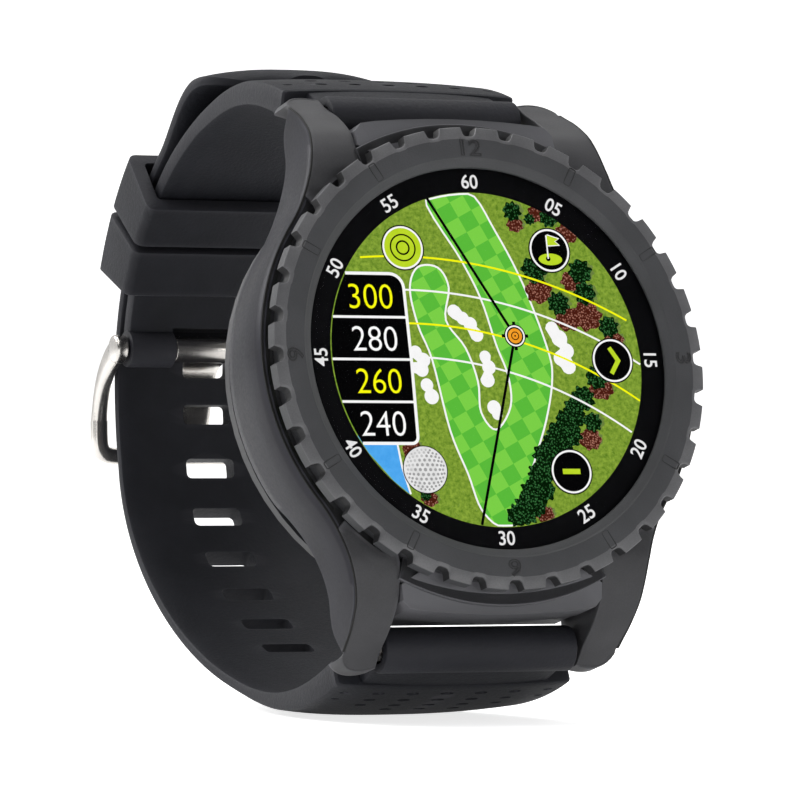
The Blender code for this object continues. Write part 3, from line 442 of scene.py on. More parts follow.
def metal(name, colour, roughness, brush=(1.0, 1.0, 12.0), scratch=0.02):
    """Brushed or polished metal with fine lines and slight smudges."""
    made, nodes, links, shader = new_material(name)
    lines = noise(nodes, links, millimetres(nodes, links, brush), 0.35, 4.0, 0.7)
    smudge = noise(nodes, links, millimetres(nodes, links), 2.5, 2.0)
    shade = tuple(c * 0.8 for c in colour)
    links.new(blended(nodes, links, ranged(nodes, links, smudge, 0.0, 1.0), shade, colour),
              shader.inputs["Base Color"])
    links.new(ranged(nodes, links, lines, roughness * 0.7, roughness * 1.4),
              shader.inputs["Roughness"])
    shader.inputs["Metallic"].default_value = 1.0
    links.new(bumped(nodes, links, lines, scratch, 0.3), shader.inputs["Normal"])
    return made


def lit(name, dark, light, size, glow=1.0, pattern="noise", turn=0.0):
    """A glowing colour, with grain, checks or leaves at their real size: for the lit screen, and as
    painted light for the dial's printed numbers.
    """
    made, nodes, links, shader = new_material(name)
    vector = millimetres(nodes, links)
    fine = noise(nodes, links, vector, size, 4.0, 0.7)
    share = ranged(nodes, links, fine, 0.0, 1.0)
    if pattern == "check":
        turned_by = nodes.new("ShaderNodeMapping")
        turned_by.inputs["Rotation"].default_value = (0.0, math.radians(turn), 0.0)
        flat = nodes.new("ShaderNodeMapping")
        flat.inputs["Scale"].default_value = (1.0, 0.0, 1.0)
        checks = nodes.new("ShaderNodeTexChecker")
        checks.inputs["Scale"].default_value = 1.0 / CHECK_SIZE
        links.new(vector, flat.inputs["Vector"])
        links.new(flat.outputs["Vector"], turned_by.inputs["Vector"])
        links.new(turned_by.outputs["Vector"], checks.inputs["Vector"])
        share = blended(nodes, links, 0.12, checks.outputs["Color"], fine)
    if pattern == "leaves":
        leaf = nodes.new("ShaderNodeTexVoronoi")
        leaf.inputs["Scale"].default_value = 1.0 / size
        links.new(vector, leaf.inputs["Vector"])
        share = ranged(nodes, links, leaf.outputs["Distance"], 1.0, 0.0, 0.05, 0.5)
    colour = blended(nodes, links, share, dark, light)
    shader.inputs["Base Color"].default_value = (0.0, 0.0, 0.0, 1.0)
    shader.inputs["Roughness"].default_value = 0.5
    shader.inputs["Specular IOR Level"].default_value = 0.0
    links.new(colour, shader.inputs["Emission Color"])
    shader.inputs["Emission Strength"].default_value = glow
    return made


def glass(name):
    """Clear cover glass: it shows what is under it and takes a faint sheen."""
    made, nodes, links, shader = new_material(name)
    smear = noise(nodes, links, millimetres(nodes, links), 5.0, 2.0)
    shader.inputs["Base Color"].default_value = (0.01, 0.01, 0.012, 1.0)
    links.new(ranged(nodes, links, smear, 0.02, 0.06), shader.inputs["Roughness"])
    shader.inputs["Alpha"].default_value = 0.025
    return made


CHECK_SIZE = 1.75                   # mown squares of the fairway
# the edge colours are paler lines on convex edges: partly wear, partly painted highlight
CASE_GREY = moulded("case_grey", (0.036, 0.036, 0.039), (0.048, 0.048, 0.052), 0.50, 0.16, 0.012,
                    edge=(0.11, 0.11, 0.12), gloss=0.34)
BEZEL_GREY = moulded("bezel_grey", (0.036, 0.037, 0.040), (0.048, 0.049, 0.053), 0.52, 0.12, 0.020,
                     gloss=0.4)
# painted highlight on the notched rim's front edge
BEZEL_RIM_HIGHLIGHT = moulded("bezel_rim_highlight", (0.075, 0.075, 0.080), (0.11, 0.11, 0.115), 0.40, 0.12, 0.010)
PANEL_GREY = moulded("panel_grey", (0.012, 0.012, 0.016), (0.018, 0.018, 0.024), 0.40, 0.35, 0.004,
                     edge=(0.07, 0.07, 0.085), gloss=0.10)
# dark painted shade for the insides of the notches and for the engraved outlines
NOTCH_AND_ENGRAVING_SHADE = moulded("painted_groove_shade", (0.012, 0.012, 0.013), (0.018, 0.018, 0.020), 0.6, 0.1, 0.01)
# near-black strip in the gap beside each side panel: painted shade
SEAM_SHADE = moulded("seam_painted_shade", (0.002, 0.002, 0.002), (0.004, 0.004, 0.004), 0.8, 0.2, 0.01)
STRAP_RUBBER = moulded("strap_rubber", (0.0092, 0.0098, 0.0132), (0.0130, 0.0138, 0.0182), 0.60, 0.26,
                       0.06, edge=(0.035, 0.035, 0.042), gloss=0.22)
BUTTON_BLACK = moulded("button_black", (0.010, 0.010, 0.011), (0.015, 0.015, 0.016), 0.38, 0.2, 0.006,
                       edge=(0.05, 0.05, 0.055))
COVER_GREY = moulded("cover_grey", (0.022, 0.022, 0.025), (0.030, 0.030, 0.034), 0.42, 0.2, 0.008)
DIAL_BLACK = moulded("dial_black", (0.0016, 0.0016, 0.0022), (0.0026, 0.0026, 0.0034), 0.35, 0.3,
                     0.002, gloss=0.06)
# the printed minute numbers are made to glow: painted light, as the dial ring is no lamp
DIAL_GLOWING_WHITE = lit("dial_white_glowing", (0.80, 0.80, 0.80), (0.92, 0.92, 0.92), 0.3, 0.95)
BUCKLE_STEEL = metal("buckle_steel", (0.78, 0.75, 0.71), 0.20)
BAR_STEEL = metal("bar_steel", (0.66, 0.64, 0.62), 0.28, (12.0, 1.0, 1.0))
CLEAR_GLASS = glass("cover_glass")

GRASS = lit("map_rough", (0.085, 0.19, 0.012), (0.32, 0.47, 0.055), 0.45)
FAIRWAY = lit("map_fairway", (0.060, 0.45, 0.035), (0.25, 0.72, 0.075), 0.3, pattern="check",
              turn=27.0)
WATER = lit("map_water", (0.06, 0.36, 0.85), (0.10, 0.45, 0.95), 1.2)
TREES = lit("map_trees", (0.001, 0.010, 0.001), (0.05, 0.22, 0.06), 0.24, pattern="leaves")
BUSHES = lit("map_bushes", (0.07, 0.012, 0.006), (0.56, 0.24, 0.17), 0.22, pattern="leaves")
SHADE = lit("map_shade", (0.12, 0.20, 0.03), (0.19, 0.26, 0.08), 0.3)
SCREEN_BLACK = lit("screen_black", (0.0008, 0.0008, 0.0010), (0.0014, 0.0014, 0.0016), 1.0)
SCREEN_WHITE = lit("screen_white", (0.95, 0.95, 0.95), (1.0, 1.0, 1.0), 1.0)
SCREEN_YELLOW = lit("screen_yellow", (0.93, 0.93, 0.0), (1.0, 1.0, 0.01), 1.0)
SCREEN_LIME = lit("screen_lime", (0.48, 0.68, 0.015), (0.56, 0.76, 0.03), 1.0)
SCREEN_ORANGE = lit("screen_orange", (0.90, 0.30, 0.01), (0.98, 0.40, 0.03), 0.5)
BALL = lit("map_ball", (0.70, 0.70, 0.70), (0.90, 0.90, 0.90), 1.6)
DIMPLE = lit("map_dimple", (0.30, 0.30, 0.30), (0.42, 0.42, 0.42), 0.3)
BALL_SHADE = lit("map_dimple_light", (0.50, 0.50, 0.50), (0.66, 0.66, 0.66), 0.3)
SCREEN_FINISHES = [GRASS, FAIRWAY, WATER, TREES, BUSHES, SHADE, SCREEN_BLACK, SCREEN_WHITE,
                   SCREEN_YELLOW, SCREEN_LIME, SCREEN_ORANGE, BALL, DIMPLE, BALL_SHADE]
(ON_GRASS, ON_FAIRWAY, ON_WATER, ON_TREES, ON_BUSHES, ON_SHADE, ON_BLACK, ON_WHITE,
 ON_YELLOW, ON_LIME, ON_ORANGE, ON_BALL, ON_DIMPLE, ON_BALL_SHADE) = range(len(SCREEN_FINISHES))


# Screen

MAP_R = DIAL_R - 3.28               # the lit picture ends where the dial ring begins
LAYER = 0.018                       # height of one layer of the picture
SLAB = LAYER * 0.8                  # thickness of what is drawn on a layer
ARC_CENTRE = (-9.0, -42.7)          # of the four distance arcs
ARC_RADII = (53.3, 49.8, 46.3, 42.8)
LINE = 0.2                          # width of a drawn line
BADGE_R = 2.4                       # radius of the round buttons and of the ball


def on_screen(point, margin=0.0):
    """Pull a point back to the picture's round edge."""
    x, z = point
    reach = math.hypot(x, z)
    share = min(1.0, (MAP_R - margin) / reach) if reach else 1.0
    return x * share, z * share


def flat(bm, outline, level, finish):
    """One flat shape of the picture, a thin slab on its own layer."""
    front = -LAYER * level
    prism(bm, outline, front, front + SLAB, finish)


def slab_ring(bm, a, b, front):
    """Four vertices across a slab of the picture, between two (x, z) points."""
    rear = front + SLAB
    return ring_of(bm, [(x, y, z) for (x, z), y in ((a, front), (a, rear), (b, rear), (b, front))])


def disc(centre, radius, sides=40):
    """(x, z) points round a circle."""
    return [polar(radius, 360.0 * i / sides, centre) for i in range(sides)]


def hoop(bm, centre, radius, width, level, finish, sides=48):
    """A flat ring of the picture."""
    front = -LAYER * level
    rings = []
    for i in range(sides):
        degrees = 360.0 * i / sides
        inner = polar(radius - width, degrees, centre)
        outer = polar(radius, degrees, centre)
        rings.append(slab_ring(bm, outer, inner, front))
    bridge(bm, rings, closed=True, finish=finish)


def stroke(bm, line, width, level, finish, closed=False):
    """A flat line of even width along points."""
    front = -LAYER * level
    count = len(line)
    rings = []
    for i, (x, z) in enumerate(line):
        before = line[i - 1] if closed or i else line[0]
        after = line[(i + 1) % count] if closed or i < count - 1 else line[-1]
        along = Vector((after[0] - before[0], after[1] - before[1])).normalized()
        side = Vector((-along.y, along.x)) * (width / 2)
        left, right = (x + side.x, z + side.y), (x - side.x, z - side.y)
        rings.append(slab_ring(bm, left, right, front))
    bridge(bm, rings, closed=closed, finish=finish)
    if not closed:
        for cap in (rings[0], rings[-1]):
            bm.faces.new(cap).material_index = finish


def wavy(centre, radius, waves, depth, turn=0.0, stretch=1.0, sides=36):
    """A round outline with waves, for trees, bushes and bunkers."""
    outline = []
    for i in range(sides):
        angle = 2 * math.pi * i / sides
        wave = math.sin(waves * angle + turn) + math.sin((waves + 3) * angle) / 2
        r = radius * (1 + depth * wave)
        x, z = r * stretch * math.sin(angle), r * math.cos(angle)
        outline.append(on_screen((centre[0] + x, centre[1] + z)))
    return outline


def lobed(circles, sides=48):
    """Outline of overlapping circles (x, z, radius), seen from their middle."""
    mx = sum(c[0] for c in circles) / len(circles)
    mz = sum(c[1] for c in circles) / len(circles)
    outline = []
    for i in range(sides):
        angle = 2 * math.pi * i / sides
        dx, dz = math.sin(angle), math.cos(angle)
        reach = 0.1
        for x, z, radius in circles:
            along = (x - mx) * dx + (z - mz) * dz
            across = (x - mx) ** 2 + (z - mz) ** 2 - along ** 2
            if across < radius ** 2:
                reach = max(reach, along + math.sqrt(radius ** 2 - across))
        outline.append((mx + dx * reach, mz + dz * reach))
    return outline


def course(bm):
    """Rough, fairway, water, bunkers and planting of the hole on the map."""
    prism(bm, disc((0.0, 0.0), MAP_R, 96), 0.0, DISPLAY_DEPTH, ON_GRASS)
    fairway = [(-5.3, 17.0), (-1.9, 10.4), (-0.1, 6.3), (1.1, 1.5), (2.1, -1.8), (2.0, -5.0),
               (0.1, -7.4), (-1.4, -5.6), (-1.4, -2.4), (-2.4, 1.1), (-4.3, 4.0), (-3.6, 7.4),
               (-4.6, 9.5), (-6.9, 9.5),
               (-8.0, 7.2), (-7.5, 3.4), (-6.3, -0.2), (-5.1, -7.5), (-3.6, -12.0), (-2.5, -15.7),
               (-0.4, -17.6), (1.6, -16.9), (3.8, -11.3), (5.9, -6.4), (7.1, -2.0), (6.9, 1.2),
               (4.9, 7.9), (2.4, 13.4), (-0.3, 17.6)]
    outline = [on_screen(p, 0.15) for p in catmull(fairway, 5)]
    flat(bm, outline, 1, ON_FAIRWAY)
    stroke(bm, outline, LINE, 2, ON_WHITE, closed=True)
    lake = [(-16.5, -8.6), (-11.2, -8.6), (-10.9, -11.3), (-10.6, -14.6), (-12.6, -13.4),
            (-15.2, -10.4)]
    flat(bm, [on_screen(p, 0.05) for p in lake], 1, ON_WATER)
    stroke(bm, [on_screen(p, 0.1) for p in lake[1:4]], LINE, 2, ON_WHITE)
    bunkers = [[(-3.3, 4.9, 0.75), (-2.4, 4.2, 0.7), (-1.6, 3.6, 0.75), (-1.0, 2.5, 0.75)],
               [(-8.1, 0.6, 0.7), (-7.3, -0.2, 0.75), (-7.6, -1.2, 0.75), (-8.3, -1.0, 0.6)],
               [(-7.2, -2.8, 0.7), (-6.8, -4.0, 0.8)],
               [(-0.3, 0.2, 0.65), (0.0, -0.9, 0.75), (-0.3, -2.2, 0.8)],
               [(0.1, -5.1, 0.75), (0.4, -5.8, 0.6)],
               [(7.7, 3.2, 0.8), (8.4, 2.2, 0.9), (9.1, 0.9, 0.8), (8.3, 0.1, 0.8), (9.1, -0.7, 0.85)]]
    for circles in bunkers:
        flat(bm, lobed(circles), 3, ON_WHITE)


def planting(bm):
    """Bushes, trees and their shade beside the fairway."""
    bushes = [(4.7, 14.2, 0.8), (7.3, 15.4, 0.9), (10.6, 13.4, 1.1), (6.6, 7.2, 1.3), (10.6, 8.3, 1.1),
              (9.6, 4.3, 1.3), (11.8, 4.6, 1.5), (14.7, 2.0, 1.0), (12.6, -3.0, 1.2), (10.7, -8.4, 1.1),
              (-9.5, -9.6, 1.0), (-8.2, -14.6, 0.8), (4.6, -16.2, 0.9)]
    trees = [(4.5, 15.6, 1.0), (6.4, 14.8, 0.6), (8.6, 15.0, 1.0), (6.3, 9.4, 1.4), (11.6, 9.3, 1.3),
             (8.7, 5.9, 1.2), (11.9, 7.0, 1.2), (14.2, 3.5, 1.1), (12.2, -1.9, 1.2), (11.2, -6.6, 1.0),
             (-8.6, -14.2, 0.6)]
    for i, (x, z, radius) in enumerate(bushes + trees):
        flat(bm, wavy((x + 0.5, z + 0.1), radius * 0.85, 9, 0.10, i), 1, ON_SHADE)
    for i, (x, z, radius) in enumerate(bushes):
        flat(bm, wavy((x, z), radius, 7, 0.10, i * 1.7, 1.15), 2 + i % 2, ON_BUSHES)
    wood = []
    for row in range(8):
        share = row / 7.0
        for side in (-1.0, 0.0, 1.0):
            x = 9.2 - 6.6 * share + side * 1.15
            z = -5.2 - 10.6 * share + side * 0.75 + 0.4 * math.sin(5.0 * row + side)
            wood.append((x, z, 1.15 + 0.15 * math.sin(3.0 * row + 2.0 * side)))
    for i, (x, z, radius) in enumerate(trees + wood):
        flat(bm, wavy((x, z), radius, 8, 0.13, i * 2.3), 4 + i % 3, ON_TREES)


def distance_lines(bm):
    """Arcs of equal distance, the line of play and the target on it."""
    for i, radius in enumerate(ARC_RADII):
        start = -4.6 if i == 0 else 0.0
        line = []
        for step in range(40):
            x, z = polar(radius, start + step * 1.0, ARC_CENTRE)
            if math.hypot(x, z) < MAP_R - 0.05:
                line.append((x, z))
        stroke(bm, line, LINE, 7, ON_WHITE if i % 2 else ON_YELLOW)
    target = (3.3, 2.4)
    stroke(bm, [on_screen((-5.2, 17.2)), target], 0.3, 7.4, ON_BLACK)
    stroke(bm, [target, on_screen((-2.7, -17.4))], 0.3, 7.4, ON_BLACK)
    for degrees in (0.0, 90.0, 180.0, 270.0):
        stroke(bm, [polar(1.0, degrees, target), polar(1.5, degrees, target)], 0.35, 8, ON_BLACK)
    flat(bm, disc(target, 1.22), 8, ON_BLACK)
    hoop(bm, target, 1.1, 0.16, 9, ON_WHITE)
    flat(bm, disc(target, 0.78), 9, ON_ORANGE)
    hoop(bm, target, 0.45, 0.1, 10, ON_BLACK)
    flat(bm, disc(target, 0.1, 12), 10, ON_BLACK)


def badge(bm, centre, radius, inside):
    """A round button of the map: dark edge, white hoop and a filled middle."""
    flat(bm, disc(centre, radius), 8, ON_BLACK)
    hoop(bm, centre, radius - 0.14, 0.2, 9, ON_WHITE)
    if inside != ON_BLACK:
        flat(bm, disc(centre, radius - 0.34), 9, inside)


def buttons(bm):
    """The four round buttons, and the ball in place of a fifth."""
    target = (-8.4, 11.5)
    badge(bm, target, BADGE_R, ON_LIME)
    hoop(bm, target, 1.45, 0.16, 10, ON_BLACK)
    hoop(bm, target, 0.78, 0.18, 10, ON_BLACK)
    green = (8.3, 11.5)
    badge(bm, green, BADGE_R, ON_BLACK)
    flat(bm, [(green[0] + 1.35 * math.sin(a / 5), green[1] - 0.95 + 0.62 * math.cos(a / 5))
              for a in range(31)], 9, ON_LIME)
    flag = [(8.14, 13.15), (9.5, 12.75), (9.0, 12.45), (9.5, 12.05), (8.14, 11.95)]
    flat(bm, disc((8.05, 10.6), 0.26, 16), 10, ON_BLACK)
    stroke(bm, [(8.05, 10.6), (8.05, 13.1)], 0.15, 11, ON_WHITE)
    flat(bm, flag, 11, ON_LIME)
    stroke(bm, flag, 0.1, 12, ON_WHITE)
    badge(bm, (14.2, -0.1), BADGE_R, ON_BLACK)
    arrow = [(13.75, 1.15), (14.15, 1.4), (15.15, -0.1), (14.15, -1.6), (13.75, -1.35),
             (14.55, -0.1)]
    flat(bm, arrow, 9, ON_LIME)
    badge(bm, (8.1, -11.8), BADGE_R, ON_BLACK)
    flat(bm, [(7.1, -11.5), (9.1, -11.5), (9.1, -12.05), (7.1, -12.05)], 9, ON_LIME)
    golf_ball(bm, (-8.4, -11.6))


def golf_ball(bm, centre):
    """The ball, with dimples that crowd together towards its edge."""
    flat(bm, disc(centre, BADGE_R + 0.1), 8, ON_BLACK)
    flat(bm, disc(centre, BADGE_R), 9, ON_BALL)
    for row in range(-6, 7):
        for column in range(-6, 7):
            u = (column + 0.5 * (row % 2)) * 0.19
            v = row * 0.165
            reach = math.hypot(u, v)
            if reach > 0.90:
                continue
            swell = math.sin(min(reach * 1.35, 1.45)) / max(reach, 0.001) / math.sin(1.35)
            spread = BADGE_R * 0.93 * min(swell, 1.4)
            place_at = (centre[0] + spread * u, centre[1] + spread * v)
            shade = ON_DIMPLE if u - v > -0.55 else ON_BALL_SHADE
            flat(bm, disc(place_at, 0.19 * (1.0 - 0.45 * reach), 12), 10, shade)


def left_end(z):
    """Where the picture's round edge is on the left, at a height."""
    return 0.05 - math.sqrt(MAP_R ** 2 - z ** 2)


def number_panel(bm):
    """Black panel with four distances, at the left of the picture."""
    top, bottom, right_top, right_bottom, corner = 8.75, -8.9, -8.75, -8.85, 1.5
    edge = [(-19.0, top)]
    for step in range(7):
        edge.append(polar(corner, 15.0 * step, (right_top - corner, top - corner)))
    edge.append((-8.7, 0.0))
    for step in range(7):
        edge.append(polar(0.7, 90.0 + 15.0 * step, (right_bottom - 0.7, bottom + 0.7)))
    edge.append((-19.0, bottom))
    round_edge = [polar(MAP_R - 0.05, -90.0 + a) for a in range(-30, 29, 2)]
    shape = [(max(x, left_end(z)), z) for x, z in edge]
    flat(bm, shape + [(x, z) for x, z in round_edge if bottom < z < top], 8, ON_BLACK)
    stroke(bm, shape, 0.32, 9, ON_WHITE)
    for z in (4.2, -0.2, -4.6):
        stroke(bm, [(left_end(z), z), (right_top, z)], 0.26, 9, ON_WHITE)
    for i, number in enumerate(("300", "280", "260", "240")):
        mesh = text_mesh(number, 2.75, LAYER, 0.93, -0.035)
        add_mesh(bm, mesh, Matrix.Translation((-12.55, -LAYER * 9, 6.35 - 4.4 * i)),
                 ON_WHITE if i % 2 else ON_YELLOW)


def screen():
    """The lit display with the map of the hole."""
    bm = bmesh.new()
    course(bm)
    planting(bm)
    distance_lines(bm)
    buttons(bm)
    number_panel(bm)
    add_piece("lit_display", bm, SCREEN_FINISHES, stands_for=("display_panel",))


# Dial and glass

GLASS_EDGE = 0.2
GLASS_REAR = -0.3


def dial():
    """Black ring under the glass with its minute numbers, which glow as painted light."""
    bm = bmesh.new()
    inner = MAP_R + 0.02
    profile = [(inner, -0.02), (DIAL_R, -0.02), (DIAL_R, DIAL_REAR), (DISPLAY_R + 0.3, DIAL_REAR),
               (DISPLAY_R + 0.3, 0.02), (inner, 0.02)]
    turned(bm, profile, 144)
    add_piece("minute_ring", bm, [DIAL_BLACK], stands_for=("dial_ring",))
    bm = bmesh.new()
    for step in range(12):
        degrees = 30.0 * step
        minutes = 60 if step == 0 else 5 * step
        mesh = text_mesh("%02d" % minutes, 1.5, 0.03, 0.95, 0.022)
        middle = (MAP_R + DIAL_R) / 2 - 0.5
        add_mesh(bm, mesh, dial_place(middle, degrees, -0.05, flip=90 < degrees < 270))
    # the glow of the minute numbers is painted light
    add_piece("minute_numbers", bm, [DIAL_GLOWING_WHITE])


def cover():
    """The clear glass over the dial, with a softened front edge."""
    bm = bmesh.new()
    rings = []
    for radius, y in ((GLASS_R - GLASS_EDGE, GLASS_FRONT), (GLASS_R, GLASS_FRONT + GLASS_EDGE),
                      (GLASS_R, GLASS_REAR)):
        outline = disc((0.0, 0.0), radius, 144)
        rings.append(ring_of(bm, [(x, y, z) for x, z in outline]))
    capped(bm, rings)
    add_piece("cover_glass", bm, [CLEAR_GLASS], stands_for=("front_glass",))


# Bezel

NOTCHES = 36
NOTCH_HALF = 0.82
NOTCH_DEPTH = 0.98
FLANGE_REAR = BEZEL_FRONT + 1.8
LIP_R = GLASS_R + 0.3
FACE_R = LIP_R + 0.95
RIM_START = 22.9                    # where the face begins to bend down into the notches


def notched(angle, clearance):
    """Greatest radius at an angle, at a distance inside the notched rim."""
    pitch = 2 * math.pi / NOTCHES
    off = abs((angle + pitch / 2) % pitch - pitch / 2)
    across = BEZEL_R * math.sin(off) / (NOTCH_HALF + clearance)
    limit = BEZEL_R - clearance
    if across < 1.0:
        limit = min(limit, BEZEL_R - (NOTCH_DEPTH + clearance) * (1.0 - across ** 4) ** 0.5)
    return limit


def bezel():
    """Bezel with a flat face, an inner chamfer and rounded notches round its rim."""
    front = BEZEL_FRONT
    profile = [(LIP_R, front + 0.8, None), (LIP_R, front + 0.62, None),
               (LIP_R + 0.08, front + 0.5, None), (FACE_R - 0.22, front + 0.16, None),
               (FACE_R - 0.14, front + 0.14, None), (FACE_R, front + 0.02, None),
               (FACE_R + 0.12, front, None), (22.3, front + 0.03, None),
               (RIM_START, front + 0.05, 0.4), (BEZEL_R, front + 0.09, 0.16),
               (BEZEL_R, front + 0.14, 0.06), (BEZEL_R, front + 0.24, 0.0),
               (BEZEL_R, FLANGE_REAR - 0.2, 0.0), (BEZEL_R, FLANGE_REAR, 0.12),
               (23.0, FLANGE_REAR + 0.05, None), (22.95, BEZEL_BASE, None),
               (LIP_R + 1.3, BEZEL_BASE, None), (LIP_R + 1.3, front + 0.8, None)]
    steps = 22
    angles = []
    for i in range(NOTCHES):
        for k in range(steps):
            share = (k - steps / 2) / (steps / 2)
            bent = share * (0.45 + 0.55 * share * share)
            angles.append(math.radians(i * 10.0 + 5.0 * bent))
    bm = bmesh.new()
    rings = []
    for angle in angles:
        points = []
        for radius, y, clearance in profile:
            r = radius if clearance is None else min(radius, notched(angle, clearance))
            points.append((r * math.sin(angle), y, r * math.cos(angle)))
        rings.append(ring_of(bm, points))
    bridge(bm, rings, closed=True)
    for face in bm.faces:
        middle = face.calc_center_median()
        out = math.hypot(middle.x, middle.z)
        # the walls and floors of the notches get a dark painted shade
        if front + 0.2 < middle.y < FLANGE_REAR and RIM_START < out < BEZEL_R - 0.12:
            face.material_index = 1
        # the rim's front edge, where it rounds into the notches, takes a painted highlight
        if front + 0.05 < middle.y < front + 0.2 and out > RIM_START - 0.2:
            face.material_index = 2
    add_piece("bezel", bm, [BEZEL_GREY, NOTCH_AND_ENGRAVING_SHADE, BEZEL_RIM_HIGHLIGHT], stands_for=("bezel_ring",),
              sharp=28)


def bezel_marks():
    """Engraved edges of the hour numbers and the bars between them, drawn as thin round strokes in a
    dark painted shade.
    """
    bm = bmesh.new()
    y = BEZEL_FRONT + 0.03
    for hour in range(12):
        degrees = 30.0 * hour
        if hour % 3 == 0:
            number = {0: "12", 3: "3", 6: "6", 9: "9"}[hour]
            wide = 1.25 if hour else 1.2
            add_mesh(bm, text_mesh(number, 1.75, 0.0, wide, 0.0, 0.085), dial_place(21.95, degrees, y))
            continue
        low, high, half = 21.05, 23.0, 0.38
        corners = []
        for side, radius in ((-1, low), (-1, high), (1, high), (1, low)):
            corners.append((side * half, radius))
        line = []
        for i, corner in enumerate(corners):
            a, b = Vector(corners[i - 1]), Vector(corners[(i + 1) % 4])
            p = Vector(corner)
            start = p + (a - p).normalized() * 0.2
            end = p + (b - p).normalized() * 0.2
            line += bezier(start, start.lerp(p, 0.6), end.lerp(p, 0.6), end, 4) + [end]
        turn = Matrix.Rotation(math.radians(degrees), 4, "Y")
        rings = []
        count = len(line)
        for i, p in enumerate(line):
            along = (line[(i + 1) % count] - line[i - 1]).normalized()
            side = Vector((-along.y, along.x))
            ring = []
            for k in range(6):
                angle = math.pi * k / 3
                reach = side * (0.055 * math.cos(angle))
                ring.append(turn @ Vector((p.x + reach.x, y + 0.055 * math.sin(angle), p.y + reach.y)))
            rings.append(ring_of(bm, ring))
        bridge(bm, rings, closed=True)
    # the strokes' dark colour is painted shade of the engraved grooves
    add_piece("bezel_engraving", bm, [NOTCH_AND_ENGRAVING_SHADE])


# Case

FRONT = 1.5                         # front face of the case, behind the notched rim
SIDE_ARC = 36.0                     # half angle of the round stretch at 3 and 9 o'clock
RIDGE_R = 25.25                     # front edge of the barrel between the lugs
LUG_INNER_X = 11.4
LUG_ROOT_R = 23.75
LUG_CORNER = (15.75, 28.5)
PANEL_PROUD = 0.12
SEAM = 0.16
FRONT_LINE = [Vector(p) for p in ((0.0, 1.5), (18.5, 1.5), (20.5, 1.58), (22.0, 1.82), (23.4, 2.3),
                                  (24.9, 3.2), (26.8, 5.35), (28.3, 7.7), (29.6, 9.3), (30.6, 10.3))]
FRONT_TABLE = [(p.x, p.y) for p in catmull(FRONT_LINE, 8, closed=False)]


def front_y(z):
    """Height of the case's front surface; it falls away along the lugs."""
    return interpolate(abs(z), FRONT_TABLE)


def flank_half():
    """Side of the case from 3 o'clock to the tip of the upper lug, as (x, z) points."""
    arc = [Vector((CASE_R * math.cos(math.radians(a)), CASE_R * math.sin(math.radians(a))))
           for a in range(0, int(SIDE_ARC), 2)]
    angle = math.radians(SIDE_ARC)
    start = Vector((CASE_R * math.cos(angle), CASE_R * math.sin(angle)))
    lead = start + Vector((-math.sin(angle), math.cos(angle))) * 4.2
    tip = Vector(LUG_CORNER)
    return arc + bezier(start, lead, Vector((16.25, 22.0)), tip, 26) + [tip]


REAR_POINTS = ((0.0, 11.9), (11.5, 11.85), (13.4, 11.5), (15.3, 10.6), (17.0, 9.7), (19.0, 8.95),
               (21.0, 8.75), (22.8, 8.95), (24.4, 9.6), (25.8, 9.9), (26.8, 9.6), (27.6, 9.1),
               (28.4, 8.5))
REAR_TABLE = [(p.x, p.y) for p in catmull([Vector(p) for p in REAR_POINTS], 5, closed=False)]


def panel_rear(z):
    """Rear edge of the smooth side panel, which narrows to a point on each lug."""
    return interpolate(abs(z), REAR_TABLE)


FLANK = flank_half()
FLANK_LINE = [Vector((p.x, -p.y)) for p in reversed(FLANK[1:])] + FLANK
FLANK_POLAR = sorted((math.degrees(math.atan2(p.y, p.x)), p.length) for p in FLANK)


def taper(y, z):
    """How far the side has drawn in at a depth; the lugs stay nearly straight."""
    draft = 1.15 * max((y - 4.0) / (CASE_REAR - 4.0), 0.0) ** 1.3
    return draft * (1 - 0.6 * smooth_share(14.0, 20.0, abs(z)))


def undercut(y, z):
    """How far the body draws in behind the panel's rear edge."""
    if abs(z) < 11.0:
        return 0.0
    return 0.75 * max(y - panel_rear(z) + 0.15, 0.0)


def outward(loop, closed=True):
    """Unit normals of a plan line, on its right-hand side."""
    count = len(loop)
    normals = []
    for i in range(count):
        a = loop[i - 1] if closed or i else loop[0]
        b = loop[(i + 1) % count] if closed or i < count - 1 else loop[-1]
        along = (b - a).normalized()
        normals.append(Vector((along.y, -along.x)))
    return normals


def barrel_edge(angle, y):
    """Radius of the barrel; under the lugs it stays below their falling front."""
    from_side = abs(90.0 - math.degrees(angle) % 180.0)
    edge = min(RIDGE_R, interpolate(from_side, FLANK_POLAR) - PANEL_PROUD)
    if 30.0 < from_side < 61.3:
        edge = min(edge, 19.8 / math.sin(math.radians(from_side)))
    z = edge * math.cos(angle)
    drawn = taper(y, min(abs(z), 14.0))
    if from_side < 62.0:
        drawn += undercut(y, z)
    return edge - drawn


def barrel(bm):
    """The round body under the bezel; its front slopes in towards the bezel."""
    def radius_at(angle, radius, y):
        """A negative radius in the profile is measured from 1 mm outside the edge."""
        if radius < 0:
            return barrel_edge(angle, y) + radius + 1.0
        return radius
    profile = [(23.2, 2.35), (-1.25, 1.62), (-1.08, FRONT + 0.02), (-1.0, FRONT + 0.14),
               (-1.0, 3.0), (-1.0, 5.8), (-1.0, 6.2), (-1.0, 8.5), (-1.0, 11.0), (-1.0, 11.9),
               (-1.3, CASE_REAR - 0.3), (21.4, CASE_REAR - 0.3), (21.4, 2.35)]
    turned(bm, profile, 288, radius_at)


def coons(bottom, right, top, left):
    """Grid of points between four curves; bottom and top run alike, and left and right too."""
    nu, nv = len(bottom) - 1, len(left) - 1
    rows = []
    for j in range(nv + 1):
        v = j / nv
        row = []
        for i in range(nu + 1):
            u = i / nu
            ruled = bottom[i] * (1 - v) + top[i] * v + left[j] * (1 - u) + right[j] * u
            corners = (bottom[0] * ((1 - u) * (1 - v)) + bottom[-1] * (u * (1 - v))
                       + top[0] * ((1 - u) * v) + top[-1] * (u * v))
            row.append(ruled - corners)
        rows.append(row)
    return rows


